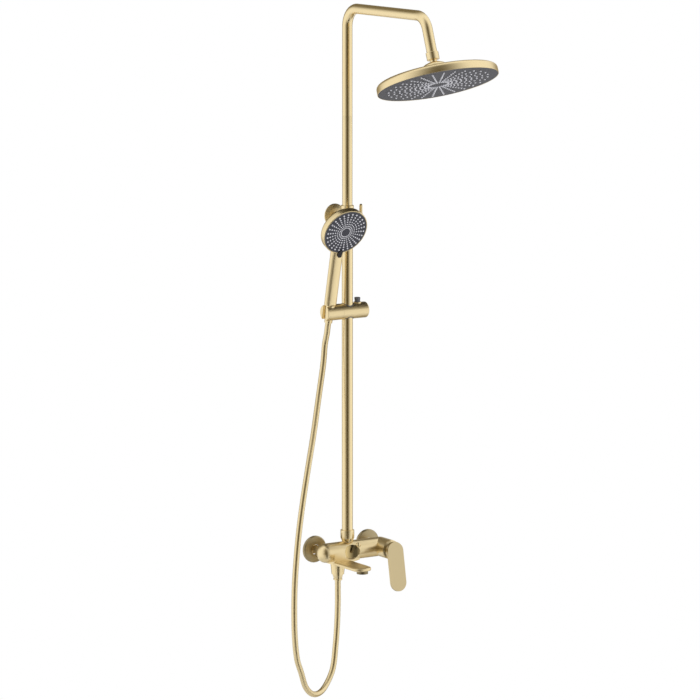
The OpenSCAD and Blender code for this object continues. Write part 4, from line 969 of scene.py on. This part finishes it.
class SHOWER_OT_mixer(ShowerPiece, bpy.types.Operator):
    """Makes the cover plates, spout, apron above it, bar's nose, and the diverter's dish and lever"""

    bl_idname = "shower.mixer"
    bl_label = "Spout, covers and diverter"

    def execute(self, context):
        # Cover plates: a slightly crowned disc with a rolled edge
        for side, x in (("left", -INLET_X), ("right", INLET_X)):
            profile = rounded([(12.6, 0.1, 0), (32.4, 0.1, 0.4), (32.5, 3.0, 1.5), (30.0, 6.6, 3.0),
                               (18.0, 8.0, 20.0), (12.6, 8.0, 0)])
            # Their finish is the gold darkened as painted shade
            cover = lathed("cover_" + side, "cover", profile, (x, 0.0, 0.0), (0, -1, 0), 96, True, 50)
            stand_in(cover, "wall_rosette_" + side)

        # Spout: a tongue with rolled edges. Its end is x = w * |cos| ** 0.82, y = tip - 20 + 20 * sin ** 0.9
        turn = np.linspace(0, math.pi, 41)
        half, tip, root = SPOUT_HALF, 180.0, 76.0
        x = np.concatenate([[half, half], half * squared(turn, 0.82)[0], [-half, -half]])
        y = np.concatenate([[root, 120.0], tip - 20.0 + 20.0 * np.sin(turn) ** 0.9, [120.0, root]])
        rows = []
        for inset, z in ((6.0, -27.4), (1.6, -27.5), (0.4, -26.9), (0.0, -25.6), (0.0, -22.2), (0.5, -20.8),
                         (1.8, -20.05), (6.0, -20.0)):
            scale = (half - inset) / half
            rows.append(np.stack([SPOUT_X + x * scale, -(root + (y - root) * (1 - inset / (tip - root))),
                                  np.full_like(x, z)], axis=1))
        mesh = skin("spout", np.array(rows)[:, ::-1])
        stand_in(place("spout", mesh, finish_of("spout"), 50), "bath_spout")

        # Apron: from the bar's front down to the spout, out = front - 0.05 * (z / 8) ** 2, cut by the dish's
        # circle on its right
        z = np.linspace(1.0, -20.3, 24)
        right = RISER[0] - np.sqrt(np.maximum((DISH_RADIUS + 0.6) ** 2 - z ** 2, 0.0))
        left = SPOUT_X - SPOUT_HALF
        face = BAR_OUT - 0.05 * (z / 8.0) ** 2
        x = left + (right - left)[:, None] * np.linspace(0, 1, 16)
        front = np.stack([x, -np.broadcast_to(face[:, None], x.shape), np.broadcast_to(z[:, None], x.shape)],
                         axis=-1)
        back = front + np.array([0.0, 3.4, 0.0])
        mesh = skin("apron", np.concatenate([front, back[:, ::-1]], axis=1)[:, ::-1])
        beside(place("apron", mesh, finish_of("gold_cast"), 50), "mixer_body")

        # Dish: the recess as one bowl, out = centre - sqrt(R^2 - r^2), in its bore 65.3 + 4.9 * (r / B)^2.2.
        # Its rim is where the sphere meets the bar's cylinder, found by halving
        turn = full_turn(72)
        low, high = np.full_like(turn, BORE_RADIUS + 0.1), np.full_like(turn, DISH_RADIUS + 2.0)
        for _ in range(30):
            rim = (low + high) / 2
            bar = BAR_AXIS + np.sqrt(BAR_RADIUS ** 2 - (rim * np.sin(turn)) ** 2)
            inside = BOWL_OUT - np.sqrt(BOWL_RADIUS ** 2 - rim ** 2) < bar
            low, high = np.where(inside, rim, low), np.where(inside, high, rim)
        bore = np.broadcast_to(np.linspace(0.04, 1, 8)[:, None] * BORE_RADIUS, (8, 72))
        slope = BORE_RADIUS + (low - BORE_RADIUS) * np.linspace(0.1, 1, 10)[:, None]
        r = np.concatenate([bore, slope])
        out = np.concatenate([65.3 + 4.9 * (bore / BORE_RADIUS) ** 2.2,
                              BOWL_OUT + 0.12 - np.sqrt(BOWL_RADIUS ** 2 - slope ** 2)])
        bowl = np.stack([RISER[0] + r * np.cos(turn), -out, r * np.sin(turn)], axis=-1)
        under = bowl[::-1] + np.array([0.0, 0.25, 0.0])
        mesh = skin("diverter_dish", np.concatenate([under, bowl]))
        # Its finish paints the shade of the hollow into the colour
        beside(place("diverter_dish", mesh, finish_of("recess"), 60), "diverter_valve")

        # Nose: round end of the bar on its left, r = R * sqrt(1 - (x / length) ** 2.6)
        full = BAR_RADIUS + 0.06
        x = 10.0 + 21.4 * np.sin(np.linspace(0, 0.495 * math.pi, 24))
        r = full * np.sqrt(1 - ((x - 10.0) / 21.5) ** 2.6)
        profile = np.concatenate([[(2.0, -1.0), (20.0, -2.0), (full, -2.0)], np.stack([r, x], 1)])
        root = (-67.0, RISER[1], 0.0)
        nose = lathed("bar_nose", "gold_cast", profile, root, (-1, 0, 0), 96, hint=(0, 0, 1))
        beside(nose, "mixer_body")

        # Lever of the diverter: a thinning arm that comes out, bends up to the right and ends in a round knob
        lean = math.radians(34.0)
        along = np.array([math.sin(lean), 0.0, math.cos(lean)])
        base = np.array([RISER[0], -68.5, 0.0])
        path = evened(bent([base, base + [0, -9.0, 0], base + [0, -17.0, 0] + along * 17.0], 5.0, 12), 4.0)
        reach = np.linspace(0, 1, len(path))
        mesh = skin("diverter_arm", piped(path, (3.6 - 1.2 * reach)[:, None], 24))
        # The arm takes the dish's finish: gold darkened with painted shade
        stand_in(place("diverter_arm", mesh, finish_of("recess"), 60), "diverter_knob")
        turn = np.linspace(0.1, math.pi - 0.1, 20)
        knob = np.stack([6.0 * np.sin(turn), -6.0 * np.cos(turn)], axis=1)
        end = base + [0, -19.0, 0] + along * 20.0
        beside(lathed("diverter_ball", "gold", knob, end, along, 40, angle=60), "diverter_knob")
        return {"FINISHED"}


class SHOWER_OT_fittings(ShowerPiece, bpy.types.Operator):
    """Smooths the castings and fittings whose shape is the solid's, and makes the nut of the hose's end"""

    bl_idname = "shower.fittings"
    bl_label = "Mixer and fittings"

    def execute(self, context):
        for source, name in SMOOTHED.items():
            merged(source, name, slot=OTHER_FINISH.get(source))
        profile = rounded([(7.2, -69.0, 0), (10.4, -69.0, 0.6), (10.8, -65.5, 0.4), (10.0, -65.0, 0),
                           (12.0, -57.0, 3), (12.7, -53.0, 2), (12.7, -44.2, 0.8), (10.4, -44.2, 0)])
        nut = lathed("hose_end_nut", "gold", profile, (SPOUT_X, RISER[1], 0.0), (0, 0, 1), 64, loop=True)
        stand_in(nut, "hose_nut")
        return {"FINISHED"}


# ---------- Finishes of the solids ----------

class SHOWER_OT_finishes(ShowerPiece, bpy.types.Operator):
    """Gives every solid the finish that its slot in the record names"""

    bl_idname = "shower.finishes"
    bl_label = "Finishes"

    def execute(self, context):
        for name, obj in frame["nodes"].items():
            obj.data.materials.clear()
            obj.data.materials.append(finish_of(SLOT_OF[name]))
        return {"FINISHED"}


# ---------- Panel and run ----------

class SHOWER_PT_panel(bpy.types.Panel):
    """Lists the operators and the settings in the sidebar"""

    bl_idname = "SHOWER_PT_panel"
    bl_label = "Shower column"
    bl_space_type = "VIEW_3D"
    bl_region_type = "UI"
    bl_category = "Shower"

    def draw(self, context):
        column = self.layout.column(align=True)
        for operator in OPERATORS:
            column.operator(operator.bl_idname)
        for name in ShowerSettings.__annotations__:
            self.layout.prop(context.scene.shower, name)


OPERATORS = (SHOWER_OT_stage, SHOWER_OT_hose, SHOWER_OT_riser, SHOWER_OT_rain_head, SHOWER_OT_hand_shower,
             SHOWER_OT_slider, SHOWER_OT_mixer, SHOWER_OT_fittings, SHOWER_OT_finishes)
CLASSES = (ShowerSettings, *OPERATORS, SHOWER_PT_panel)


def register():
    for cls in CLASSES:
        bpy.utils.register_class(cls)
    bpy.types.Scene.shower = bpy.props.PointerProperty(type=ShowerSettings)


def unregister():
    del bpy.types.Scene.shower
    for cls in reversed(CLASSES):
        bpy.utils.unregister_class(cls)


def main():
    register()
    for operator in OPERATORS:
        group, name = operator.bl_idname.split(".")
        getattr(getattr(bpy.ops, group), name)()
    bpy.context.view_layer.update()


if __name__ == "__main__":
    main()
